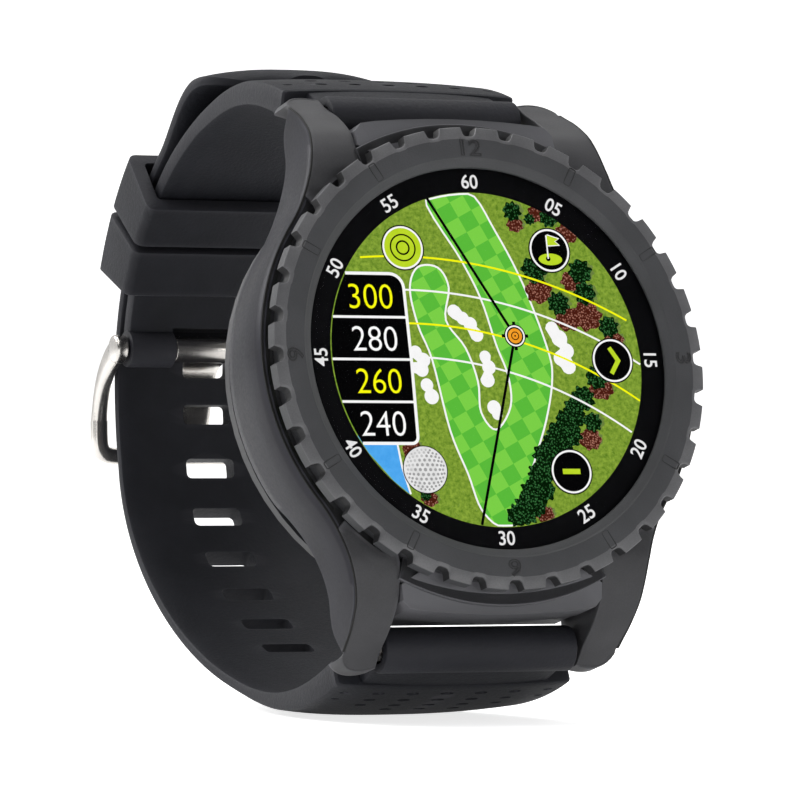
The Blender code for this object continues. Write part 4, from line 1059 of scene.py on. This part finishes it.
def lug(bm, side, end):
    """One lug: a front surface that falls to its tip, with small rounded edges."""
    shift = outward(FLANK, closed=False)
    inner_flank = [p - n * PANEL_PROUD for p, n in zip(FLANK, shift) if p.length > RIDGE_R - 0.2]
    first, last = inner_flank[0], inner_flank[-1]
    angle_b = math.atan2(first.x, first.y)
    foot = Vector((LUG_ROOT_R * math.sin(angle_b), LUG_ROOT_R * math.cos(angle_b)))
    rise = [foot.lerp(first, k / 4) for k in range(4)]
    inner_flank = rise + inner_flank
    angle_a = math.asin(LUG_INNER_X / LUG_ROOT_R)
    nu, nv = 10, len(inner_flank) - 1
    turns = [angle_a + (angle_b - angle_a) * i / nu for i in range(nu + 1)]
    bottom = [Vector((LUG_ROOT_R * math.sin(a), LUG_ROOT_R * math.cos(a))) for a in turns]
    inner_top = Vector((LUG_INNER_X, 29.9))
    top = bezier(inner_top, Vector((13.4, 30.5)), Vector((15.4, 30.2)), last, nu) + [last]
    left = [bottom[0].lerp(inner_top, i / nv) for i in range(nv + 1)]
    loop = bottom[:-1] + inner_flank[:-1] + list(reversed(top))[:-1] + list(reversed(left))[:-1]
    normals = outward(loop)
    on_flank = [nu + 4 <= i <= nu + nv for i in range(len(loop))]
    at_root = [i < nu + 4 for i in range(len(loop))]

    def ring(offset, y_at):
        points = []
        for p, n, flanked, rooted in zip(loop, normals, on_flank, at_root):
            y = y_at(p)
            draw = taper(y, p.y) + undercut(y, p.y) if flanked else 0.0
            q = p + n * ((0.0 if rooted else offset) - draw)
            if rooted:
                q = p * min(1.0, (barrel_edge(math.atan2(p.x, p.y), y) - 0.05) / p.length)
            points.append((side * q.x, y, end * q.y))
        return ring_of(bm, points)

    rear = CASE_REAR - 0.25
    rings = [ring(-0.20, lambda p: front_y(p.y)), ring(-0.06, lambda p: front_y(p.y) + 0.05),
             ring(0.0, lambda p: front_y(p.y) + 0.20)]
    for k in range(1, 8):
        share = k / 7
        rings.append(ring(0.0, lambda p, s=share: (front_y(p.y) + 0.2) * (1 - s) + (rear - 0.3) * s))
    rings.append(ring(-0.12, lambda p: rear - 0.06))
    rings.append(ring(-0.4, lambda p: rear))
    bridge(bm, rings)
    bm.faces.new(rings[-1])
    inset = [Vector((side * v.co.x, end * v.co.z)) for v in rings[0]]
    low = inset[:nu + 1]
    out = inset[nu:nu + nv + 1]
    high = list(reversed(inset[nu + nv:2 * nu + nv + 1]))
    back = [inset[0]] + list(reversed(inset[2 * nu + nv:]))
    grid_points = coons(low, out, high, back)
    edge = {}
    for i in range(nu + 1):
        edge[(0, i)] = rings[0][i]
        edge[(nv, i)] = rings[0][2 * nu + nv - i]
    for j in range(nv + 1):
        edge[(j, nu)] = rings[0][nu + j]
        edge[(j, 0)] = rings[0][(2 * nu + 2 * nv - j) % len(loop)]
    grid = []
    for j in range(nv + 1):
        row = []
        for i in range(nu + 1):
            if (j, i) in edge:
                row.append(edge[(j, i)])
            else:
                p = grid_points[j][i]
                row.append(bm.verts.new((side * p.x, front_y(p.y), end * p.y)))
        grid.append(row)
    for j in range(nv):
        for i in range(nu):
            bm.faces.new((grid[j][i], grid[j][i + 1], grid[j + 1][i + 1], grid[j + 1][i]))


def end_plate(bm, end):
    """The thin plate between a pair of lugs, lower than the barrel's edge."""
    edge = [(x, 26.0 - 0.0055 * x * x) for x in range(-9, 10, 3)]
    corner = [(-11.3, 22.9), (-11.2, 24.5), (-10.5, 25.3)]
    outline = corner + edge + [(-x, z) for x, z in reversed(corner)] + [(9.0, 21.5), (-9.0, 21.5)]
    rings = []
    for y, reach in ((None, 26.5), (6.6, 26.5), (8.2, 25.15), (11.6, 25.15)):
        points = []
        for x, z in outline:
            points.append((x, 2.05 + 0.14 * (z - 24.0) if y is None else y, end * min(z, reach)))
        rings.append(ring_of(bm, points))
    capped(bm, rings)


def case_body():
    """Barrel, end plates and lugs."""
    bm = bmesh.new()
    barrel(bm)
    for end in (1, -1):
        end_plate(bm, end)
        for side in (1, -1):
            lug(bm, side, end)
    add_piece("case_body", bm, [CASE_GREY], stands_for=("mid_case",), sharp=32)


def panel_span(z):
    """Front and rear edge of the side panel at a height on the case."""
    front = front_y(z) + SEAM
    return front, max(panel_rear(z), front + 0.25)


def side_panels():
    """The smooth panel along each side, pointed at both lugs, and the seam beside it, filled with a
    dark strip of painted shade.
    """
    normals = outward(FLANK_LINE, closed=False)
    for side, word in ((1, "right"), (-1, "left")):
        panel = bmesh.new()
        seam = bmesh.new()
        rings, lines = [], []
        for p, n in zip(FLANK_LINE, normals):
            front, rear = panel_span(p.y)
            span = rear - front
            section = [(-0.55, front), (-0.14, front), (-0.05, front + 0.03), (0.0, front + 0.12)]
            section += [(0.0, front + 0.12 + (span - 0.24) * k / 7) for k in range(1, 8)]
            section += [(-0.05, rear - 0.04), (-0.14, rear), (-0.55, rear)]
            ring = []
            for offset, y in section:
                q = p + n * (offset - taper(y, p.y))
                ring.append((side * q.x, y, q.y))
            rings.append(ring_of(panel, ring))
            line = []
            for offset, y in ((-0.06, front - SEAM + 0.02), (-0.06, front + 0.02), (-0.3, front + 0.02),
                              (-0.3, front - SEAM + 0.02)):
                q = p + n * offset
                line.append((side * q.x, y, q.y))
            lines.append(ring_of(seam, line))
        for bm, loops in ((panel, rings), (seam, lines)):
            capped(bm, loops)
        hole = [button_opening()] if side == 1 else []
        place("side_panel_" + word, combined(panel, cuts=hole), [PANEL_GREY],
              sharp=30)
        # the seam strip is painted shade in the gap
        add_piece("side_seam_" + word, seam, [SEAM_SHADE])


def button_opening():
    """Cutter for the button's opening in the side panel."""
    low, high = box_mm("side_button")
    centre_y, radius = (low.y + high.y) / 2, (high.y - low.y) / 2 + 0.22
    straight = (high.z - low.z) / 2 + 0.22 - radius
    bm = bmesh.new()
    rings = []
    for x in (high.x - 4.5, high.x + 1.0):
        rings.append(ring_of(bm, [(x, y, z) for y, z in stadium(centre_y, radius, straight)]))
    capped(bm, rings)
    return bm


def button():
    """The long rounded button at 3 o'clock."""
    low, high = box_mm("side_button")
    centre_y, half_y, half_z = (low.y + high.y) / 2, (high.y - low.y) / 2, (high.z - low.z) / 2
    outer = high.x
    bm = bmesh.new()
    rings = []
    for x, inset in ((outer - 3.0, 0.0), (outer - 0.55, 0.0), (outer - 0.3, 0.07), (outer - 0.1, 0.26),
                     (outer - 0.02, 0.6), (outer, 1.0)):
        outline = stadium(centre_y, half_y - inset, half_z - half_y)
        rings.append(ring_of(bm, [(x, y, z) for y, z in outline]))
    capped(bm, rings)
    add_piece("button_cap", bm, [BUTTON_BLACK], body="button", stands_for=("side_button",))


# Strap

LOOP_CENTRE = Vector((0.0, BAR_CENTRE.y + 28.6, 6.5))
LOOP_R = 30.2
TAIL_R = 32.9
TAIL_THICK = 2.2
STRAP_THICK = 2.4
BUCKLE_END = BUCKLE_AXIS + Vector((0.0, 8.2, -10.3))
CROSSING = BUCKLE_AXIS + Vector((0.0, 3.7, -0.4))   # where the tongue stands in the strap
SHOULDER = 5.2
HUB_R = 2.35
TAB_HALF = 10.7
LUG_END_HALF = 13.4
STRAP_HALF = 10.8
TAPER_LENGTH = 34.0                 # from the shoulders to the even part of the strap
SHOULDER_THICK = 3.4
SHOULDER_CROWN = 0.35
TIP_LENGTH = 7.0                    # rounded end of the tail
LUG_BORE_R = 1.4
BUCKLE_BORE_R = 1.1
BORE_HALF = 20.0                    # half length of the cutters of the bores
SLOTS = 8
SLOT_PITCH = 6.2
SLOT_HALF = 2.9                     # half the width of a slot
SLOT_RISE = 1.1                     # half the length of a slot
SLOT_IN_USE_RISE = 2.0
DIMPLE_PITCH = 3.9
FIXED_KEEPER_AT = 35.8              # degrees round the loop
SLIDING_KEEPER_AT = 48.6


def on_loop(radius, degrees):
    """Point on a circle about the middle of the strap's loop, from the buckle side upward."""
    angle = math.radians(degrees)
    return LOOP_CENTRE + Vector((0.0, math.cos(angle), math.sin(angle))) * radius


def loop_tangent(degrees):
    """Direction along the loop at an angle."""
    angle = math.radians(degrees)
    return Vector((0.0, -math.sin(angle), math.cos(angle)))


def loop_arc(radius, start, end, count):
    """Points on the loop from one angle to another."""
    return [on_loop(radius, start + (end - start) * i / count) for i in range(count + 1)]


def upper_path():
    """Centre line of the buckle half, from the upper lugs to the buckle."""
    start = Vector((0.0, BAR_CENTRE.y, BAR_CENTRE.z))
    arc_start = on_loop(LOOP_R, 88.0)
    path = bezier(start, start + Vector((0.0, 9.6, 7.6)),
                  arc_start + loop_tangent(88.0) * 9.6, arc_start, 44)
    return path + loop_arc(LOOP_R, 88.0, 25.5, 60)


def lower_path():
    """Centre line of the long half, from the lower lugs through the buckle to its tip."""
    start = Vector((0.0, BAR_CENTRE.y, -BAR_CENTRE.z))
    low_side = BUCKLE_END + Vector((0.0, -2.7, -2.2))
    path = bezier(start, start + Vector((0.0, 27.0, -9.0)),
                  low_side + Vector((0.0, 1.5, -19.0)), low_side, 110)
    arc_low = on_loop(TAIL_R, 25.0)
    path += bezier(low_side, low_side + Vector((0.0, 0.0, 4.6)),
                   arc_low - loop_tangent(25.0) * 4.6, arc_low, 14)
    path += loop_arc(TAIL_R, 25.0, 65.5, 40)[:-1]
    leave, tip = on_loop(TAIL_R, 65.5), on_loop(TAIL_R + 0.5, 95.5)
    path += bezier(leave, leave + loop_tangent(65.5) * 5.0, tip + Vector((0.0, 8.5, 5.0)), tip, 30)
    return path + [tip]


def lengths_of(path):
    """Length along a path to each of its points."""
    lengths = [0.0]
    for a, b in zip(path, path[1:]):
        lengths.append(lengths[-1] + (b - a).length)
    return lengths


def strap_frame(path, distance):
    """Point, direction and left-hand normal at a distance along a path."""
    lengths = lengths_of(path)
    i = next((k for k in range(len(path) - 1) if lengths[k + 1] >= distance), len(path) - 2)
    step = path[i + 1] - path[i]
    along = step.normalized()
    return path[i] + along * (distance - lengths[i]), along, Vector((0.0, -along.z, along.y))


def strap_section(half, thick, crown, outer):
    """Cross-section of the strap as (across, up) points, with a crowned outer face."""
    top = thick / 2
    edge_top = top - crown
    bottom = -thick / 2
    wall = min(0.35, (edge_top - bottom) * 0.4)
    points = []
    for k in range(-8, 9):
        u = k / 8
        points.append(((half - wall) * u, top - crown * abs(u) ** 2.6))
    points += [(half - wall * 0.3, edge_top - wall * 0.3), (half, edge_top - wall),
               (half, bottom + wall), (half - wall * 0.3, bottom + wall * 0.3)]
    points += [((half - wall) * k / 4, bottom) for k in range(4, -5, -1)]
    points += [(-half + wall * 0.3, bottom + wall * 0.3), (-half, bottom + wall),
               (-half, edge_top - wall), (-half + wall * 0.3, edge_top - wall * 0.3)]
    return [(u, v * outer) for u, v in points]


def strap_sweep(bm, path, outer, end_thick, end_crown, round_tip):
    """Sweep the strap: a narrow tab at the lugs, wide shoulders, then a taper."""
    lengths = lengths_of(path)
    total = lengths[-1]
    stations = []
    for i, length in enumerate(lengths):
        a, b = path[max(i - 1, 0)], path[min(i + 1, len(path) - 1)]
        stations.append((length, path[i], (b - a).normalized()))
    point, along, normal = strap_frame(path, SHOULDER)
    doubled = [(SHOULDER - 0.001, point, along), (SHOULDER + 0.001, point + along * 0.02, along),
               (SHOULDER + 0.25, point + along * 0.25, along)]
    stations = [s for s in stations if abs(s[0] - SHOULDER) > 0.35] + doubled
    stations.sort(key=lambda s: s[0])
    rings = []
    for length, point, along in stations:
        share = smooth_share(SHOULDER, SHOULDER + TAPER_LENGTH, length)
        half = LUG_END_HALF + (STRAP_HALF - LUG_END_HALF) * share
        thick = SHOULDER_THICK + (end_thick - SHOULDER_THICK) * min(length / TAPER_LENGTH, 1.0)
        crown = SHOULDER_CROWN + (end_crown - SHOULDER_CROWN) * share
        if length < SHOULDER:
            half, thick = TAB_HALF, thick - 0.3
        elif length < SHOULDER + 0.1:
            half, thick = half - 0.25, thick - 0.2
        from_tip = total - length
        if round_tip and from_tip < TIP_LENGTH:
            half *= math.sqrt(max(1 - ((TIP_LENGTH - from_tip) / (TIP_LENGTH + 0.25)) ** 2.4, 0.02))
            thick *= 0.80 + 0.20 * from_tip / TIP_LENGTH
        normal = Vector((0.0, -along.z, along.y))
        rings.append(ring_of(bm, [point + normal * v + Vector((u, 0.0, 0.0))
                                  for u, v in strap_section(half, thick, crown, outer)]))
    capped(bm, rings)


def rod(bm, centre, radius, half, sides=48, soft=0.25):
    """A round bar across the strap, with softened ends."""
    angles = [2 * math.pi * (i + 0.3) / sides for i in range(sides)]
    rings = []
    for x, r in ((-half, radius - soft), (-half + soft * 0.3, radius - soft * 0.3),
                 (-half + soft, radius), (half - soft, radius),
                 (half - soft * 0.3, radius - soft * 0.3), (half, radius - soft)):
        rings.append(ring_of(bm, [centre + Vector((x, r * math.cos(a), r * math.sin(a)))
                                  for a in angles]))
    capped(bm, rings)


def dimple_rows(path, distances, outer, widest):
    """Cutter for rows of oval dimples, fewer in each row; outer is the side of the outer face."""
    bm = bmesh.new()
    for row, distance in enumerate(distances):
        point, along, normal = strap_frame(path, distance)
        surface = point + normal * ((1.62 - 0.03 * row) * outer)
        turn = Matrix((Vector((1.0, 0.0, 0.0)), along, normal)).transposed().to_4x4()
        oval = turn @ Matrix.Diagonal((0.75, 0.45, 0.5, 1.0))
        for k in range(-3, 4):
            if abs(k) + row < widest:
                made = bmesh.ops.create_uvsphere(bm, u_segments=20, v_segments=10, radius=1.0)
                at = Matrix.Translation(surface + Vector((DIMPLE_PITCH * k, 0.0, 0.0)))
                bmesh.ops.transform(bm, matrix=at @ oval, verts=made["verts"])
    return bm


def slot_hole(bm, point, along, normal, half_x, half_along, corner=0.55, reach=3.0):
    """A rounded slot's cutter through the strap."""
    outline = rounded_box(half_x, -half_along, half_along, corner)
    rings = [ring_of(bm, [point + Vector((u, 0.0, 0.0)) + along * v + normal * h for u, v in outline])
             for h in (-reach, reach)]
    capped(bm, rings)


def strap_upper():
    """The buckle half, with its hubs, the gap for the tongue and the dimples."""
    path = upper_path()
    body = bmesh.new()
    strap_sweep(body, path, 1, STRAP_THICK, 0.5, False)
    hub = bmesh.new()
    rod(hub, path[0], HUB_R, TAB_HALF + 0.15)
    end_hub = bmesh.new()
    rod(end_hub, BUCKLE_AXIS, 2.05, STRAP_HALF + 0.1)
    bores = bmesh.new()
    rod(bores, path[0], LUG_BORE_R, BORE_HALF, 32, 0.0)
    rod(bores, BUCKLE_AXIS, BUCKLE_BORE_R, BORE_HALF, 32, 0.0)
    notch = bmesh.new()
    rod(notch, BUCKLE_AXIS, 2.5, TONGUE_BASE_HALF + 0.3, 40, 0.0)
    dimples = dimple_rows(path, (8.0, 10.6, 13.2), 1, 4)
    mesh = combined(body, adds=(hub, end_hub), cuts=(bores, notch, dimples))
    place("strap_buckle_half", mesh, [STRAP_RUBBER], "watch", ("strap_upper",), 32,
          upright=True)


def strap_lower():
    """The long half, with its slots and dimples."""
    path = lower_path()
    body = bmesh.new()
    strap_sweep(body, path, -1, TAIL_THICK, 0.95, True)
    hub = bmesh.new()
    rod(hub, path[0], HUB_R, TAB_HALF + 0.15)
    bore = bmesh.new()
    rod(bore, path[0], LUG_BORE_R, BORE_HALF, 32, 0.0)
    lengths = lengths_of(path)
    nearest = min(range(len(path)), key=lambda i: (path[i] - CROSSING).length)
    holes = bmesh.new()
    for i in range(SLOTS):
        point, along, normal = strap_frame(path, lengths[nearest] - SLOT_PITCH * i)
        rise = SLOT_RISE if i else SLOT_IN_USE_RISE
        slot_hole(holes, point, along, normal, SLOT_HALF, rise)
    dimples = dimple_rows(path, (7.4, 9.6, 11.8, 14.0), -1, 5)
    mesh = combined(body, adds=(hub,), cuts=(bore, holes, dimples))
    place("strap_long_half", mesh, [STRAP_RUBBER], "watch", ("strap_lower",), 32,
          upright=True)


def keeper(name, start, body):
    """A rubber band round both layers of the strap."""
    wall, clear = 1.5, 0.35
    sweep, soft = 11.6, 0.35        # degrees round the loop
    ease = 0.35                     # how far the edge is drawn in at each end
    inner_r = LOOP_R - STRAP_THICK / 2 - clear
    outer_r = TAIL_R + TAIL_THICK / 2 + clear
    half = STRAP_HALF + clear + wall
    bm = bmesh.new()

    def band_ring(outline, degrees):
        return ring_of(bm, [on_loop(r, degrees) + Vector((x, 0.0, 0.0)) for x, r in outline])

    outside = rounded_box(half, inner_r - wall, outer_r + wall, 1.0)
    inside = rounded_box(half - wall, inner_r, outer_r, 0.5)
    softened = [(a[0] + (b[0] - a[0]) * ease / 2, a[1] + (b[1] - a[1]) * ease / 2)
                for a, b in zip(outside, inside)]
    steps = 12
    turns = [start + sweep * i / steps for i in range(steps + 1)]
    rings = [band_ring(softened, start), band_ring(outside, start + soft)]
    rings += [band_ring(outside, degrees) for degrees in turns[1:-1]]
    rings += [band_ring(outside, start + sweep - soft), band_ring(softened, turns[-1])]
    rings += [band_ring(inside, degrees) for degrees in reversed(turns)]
    bridge(bm, rings, closed=True)
    add_piece(name + "_band", bm, [STRAP_RUBBER], body, (name,), 40)


# Buckle

TONGUE_BASE_HALF = box_mm("buckle_tongue")[1].x
TONGUE_BARREL_R = 1.5


def swept(bm, line, sections):
    """Sweep a rounded section along a 3-D line; sections gives (across, thick) at each point."""
    rings = []
    count = len(line)
    for i, point in enumerate(line):
        along = (line[min(i + 1, count - 1)] - line[max(i - 1, 0)]).normalized()
        out = Vector((0.0, 1.0, 0.35)).normalized()
        side = along.cross(out).normalized()
        out = side.cross(along).normalized()
        across, thick = sections[i]
        rings.append(oval_ring(bm, point, side * (across / 2), out * (thick / 2), (0.6, 0.6)))
    capped(bm, rings)


def buckle():
    """Bright frame: two bowed arms joined by an end bar with round corners."""
    arm_x = box_mm("buckle_frame")[1].x - 0.75
    axis, end = BUCKLE_AXIS, BUCKLE_END
    bow = axis + Vector((0.0, 6.8, -1.0))
    curve = bezier(axis, axis.lerp(bow, 0.67), end.lerp(bow, 0.67), end, 26) + [end]
    corner = 3.2
    half = []
    for i, p in enumerate(curve[:-6]):
        half.append((Vector((arm_x, p.y, p.z)), i / 26))
    a, b = half[-1][0], Vector((arm_x, end.y, end.z))
    turn_to = Vector((arm_x - corner, end.y, end.z))
    for p in bezier(a, b, b, turn_to, 12):
        half.append((p, 1.0))
    half.append((turn_to, 1.0))
    for k in range(1, 6):
        half.append((turn_to.lerp(Vector((0.0, end.y, end.z)), k / 6), 1.0))
    line = [p for p, t in half]
    mirrored = [Vector((-p.x, p.y, p.z)) for p in reversed(line)]
    middle = [Vector((0.0, end.y, end.z))]
    shares = [t for p, t in half]
    widths = [(1.35 + 0.5 * t, 2.9 - 1.5 * smooth_share(0.0, 0.75, t)) for t in shares]
    bm = bmesh.new()
    swept(bm, line + middle + mirrored, widths + [(1.85, 1.4)] + list(reversed(widths)))
    for side in (1, -1):
        rod(bm, axis + Vector((side * arm_x, 0.0, 0.0)), 1.55, 0.72, 40, 0.25)
    add_piece("buckle_bow", bm, [BUCKLE_STEEL], "buckle", ("buckle_frame",), 50)


def tongue():
    """The tongue: a barrel on the buckle bar and a slim blade over the end bar."""
    axis, end = BUCKLE_AXIS, BUCKLE_END
    points = [axis + Vector((0.0, 1.0, 0.0)), axis + Vector((0.0, 1.9, 0.05)), CROSSING,
              CROSSING + Vector((0.0, 2.0, -0.7)), CROSSING + Vector((0.0, 3.6, -2.7)),
              end + Vector((0.0, 1.9, 2.6)), end + Vector((0.0, 2.6, 0.8))]
    line = catmull(points, 6, closed=False)
    bm = bmesh.new()
    rings = []
    for i, point in enumerate(line):
        along = (line[min(i + 1, len(line) - 1)] - line[max(i - 1, 0)]).normalized()
        normal = Vector((0.0, -along.z, along.y))
        near_tip = smooth_share(len(line) - 4, len(line) - 1, i)
        half, thick = 2.5 - 0.7 * near_tip, 1.0 - 0.3 * near_tip
        rings.append(oval_ring(bm, point, Vector((half, 0.0, 0.0)), normal * (thick / 2), (0.5, 0.7)))
    capped(bm, rings)
    rod(bm, axis, TONGUE_BARREL_R, TONGUE_BASE_HALF, 48, 0.15)
    add_piece("tongue_blade", bm, [BUCKLE_STEEL], "tongue", ("buckle_tongue",), 50)


# CAD nodes that keep their own shape

RUBBER_SEAL = moulded("rubber_seal", (0.008, 0.008, 0.009), (0.013, 0.013, 0.014), 0.7, 0.15, 0.02)
FRAME_BLACK = moulded("frame_black", (0.009, 0.009, 0.010), (0.014, 0.014, 0.015), 0.45, 0.12, 0.008)
BOARD_GREEN = moulded("board_green", (0.010, 0.11, 0.045), (0.020, 0.19, 0.080), 0.35, 0.9, 0.010)
CERAMIC = moulded("antenna_ceramic", (0.62, 0.57, 0.48), (0.74, 0.70, 0.61), 0.55, 0.10, 0.010)
FOIL = metal("battery_foil", (0.62, 0.63, 0.65), 0.32, (1.0, 3.0, 1.0), 0.05)
TIN = metal("tin_steel", (0.66, 0.66, 0.65), 0.30, (3.0, 1.0, 1.0))
GOLD = metal("contact_gold", (0.90, 0.68, 0.28), 0.18, (1.0, 1.0, 1.0))
PIN_STEEL = metal("pin_steel", (0.62, 0.60, 0.58), 0.24, (1.0, 8.0, 8.0))
NODE_FINISHES = {"back_gasket": RUBBER_SEAL, "display_gasket": RUBBER_SEAL,
                 "button_seal": RUBBER_SEAL, "bar_pin": PIN_STEEL, "bar_spring": BAR_STEEL,
                 "lug_bar": BAR_STEEL, "case_screw": BAR_STEEL, "battery": FOIL,
                 "buckle_bar": BUCKLE_STEEL, "button_switch": FRAME_BLACK,
                 "inner_frame": FRAME_BLACK, "case_back": COVER_GREY, "charging_contact": GOLD,
                 "gps_antenna": CERAMIC, "main_board": BOARD_GREEN, "shield_can": TIN,
                 "vibration_motor": TIN}


def dress_nodes():
    """Give each CAD node that is still shown its material."""
    for name, node in sorted(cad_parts.items()):
        for start, finish in NODE_FINISHES.items():
            if name.startswith(start):
                node.data.materials.clear()
                node.data.materials.append(finish)
                break


# Stage

CAMERA_AZIMUTH = -25.7              # degrees
CAMERA_ROLL = -0.3
CAMERA_RISE = 0.0025                # slope of the view
CAMERA_DISTANCE = 0.6
CAMERA_LENS = 266.05
CAMERA_SENSOR = 36.0
AIM_RIGHT = -8.91 * MM              # from the middle of the display
AIM_UP = -4.18 * MM


def studio():
    """Pale floor with a sweep behind it, and soft lights."""
    centre = WATCH.translation
    floor_bm = bmesh.new()
    bend = [math.radians(a) for a in range(0, 91, 10)]
    profile = [(-1.6, 0.0)]
    profile += [(0.9 + 0.5 * math.sin(a), 0.5 - 0.5 * math.cos(a)) for a in bend]
    profile += [(1.4, 2.2)]
    rows = [[floor_bm.verts.new((x, y, z)) for y, z in profile] for x in (-2.2, 2.2)]
    for a, b, c, d in zip(rows[0], rows[1], rows[1][1:], rows[0][1:]):
        floor_bm.faces.new((a, b, c, d))
    mesh = bpy.data.meshes.new("floor")
    floor_bm.to_mesh(mesh)
    floor_bm.free()
    mesh.shade_smooth()
    floor = bpy.data.objects.new("floor", mesh)
    bpy.context.scene.collection.objects.link(floor)
    paint, nodes, links, shader = new_material("pale_floor")
    shader.inputs["Base Color"].default_value = (0.93, 0.93, 0.93, 1.0)
    shader.inputs["Roughness"].default_value = 0.9
    shader.inputs["Specular IOR Level"].default_value = 0.1
    speck = noise(nodes, links, millimetres(nodes, links), 3.0, 2.0)
    pale = blended(nodes, links, ranged(nodes, links, speck, 0.0, 1.0),
                   (0.92, 0.92, 0.92), (0.94, 0.94, 0.94))
    links.new(pale, shader.inputs["Base Color"])
    seen = nodes.new("ShaderNodeLightPath")
    shader.inputs["Emission Color"].default_value = (1.0, 1.0, 1.0, 1.0)
    links.new(ranged(nodes, links, seen.outputs["Is Camera Ray"], 0.25, 0.75, 0.0, 1.0),
              shader.inputs["Emission Strength"])
    mesh.materials.append(paint)

    def softbox(name, place_at, size, power):
        light = bpy.data.lights.new(name, "AREA")
        light.shape = "RECTANGLE"
        light.size, light.size_y = size
        light.energy = power
        lamp = bpy.data.objects.new(name, light)
        lamp.location = place_at
        lamp.rotation_euler = (centre - Vector(place_at)).to_track_quat("-Z", "Y").to_euler()
        bpy.context.scene.collection.objects.link(lamp)

    softbox("top", (0.0, -0.05, 0.75), (0.8, 0.8), 3.6)
    softbox("high_left", (-0.70, -0.20, 0.62), (0.5, 0.4), 1.3)
    softbox("rear_left", (-0.55, 0.55, 0.45), (0.4, 0.4), 4.5)
    softbox("right", (0.95, -0.30, 0.35), (0.4, 0.5), 1.6)
    softbox("low_front", (0.10, -0.85, 0.05), (0.8, 0.2), 1.8)
    softbox("backdrop_wash", (0.0, 0.35, 1.2), (1.8, 0.6), 4.0)

    world = bpy.data.worlds.new("studio")
    world.use_nodes = True
    world.node_tree.nodes["Background"].inputs["Color"].default_value = (1.0, 1.0, 1.0, 1.0)
    world.node_tree.nodes["Background"].inputs["Strength"].default_value = 0.12
    bpy.context.scene.world = world
    bpy.context.scene.view_settings.view_transform = "Standard"


def camera():
    """Long-lens camera to one side of the face, level with the watch."""
    azimuth = math.radians(CAMERA_AZIMUTH)
    forward = Vector((-math.sin(azimuth), math.cos(azimuth), CAMERA_RISE)).normalized()
    right = forward.cross(Vector((0.0, 0.0, 1.0))).normalized()
    up = right.cross(forward)
    turn = Matrix.Rotation(math.radians(CAMERA_ROLL), 3, forward)
    right, up = turn @ right, turn @ up
    aim = WATCH.translation + right * AIM_RIGHT + up * AIM_UP
    lens = bpy.data.cameras.new("camera")
    lens.sensor_width = CAMERA_SENSOR
    lens.lens = CAMERA_LENS
    lens.clip_start, lens.clip_end = 0.05, 20.0
    cam = bpy.data.objects.new("camera", lens)
    turned_to = Matrix((right, up, -forward)).transposed().to_4x4()
    cam.matrix_world = Matrix.Translation(aim - forward * CAMERA_DISTANCE) @ turned_to
    bpy.context.scene.collection.objects.link(cam)
    bpy.context.scene.camera = cam


screen()
dial()
cover()
bezel()
bezel_marks()
case_body()
side_panels()
button()
strap_upper()
strap_lower()
keeper("fixed_keeper", FIXED_KEEPER_AT, "watch")
keeper("sliding_keeper", SLIDING_KEEPER_AT, "keeper")
buckle()
tongue()
dress_nodes()
studio()
camera()
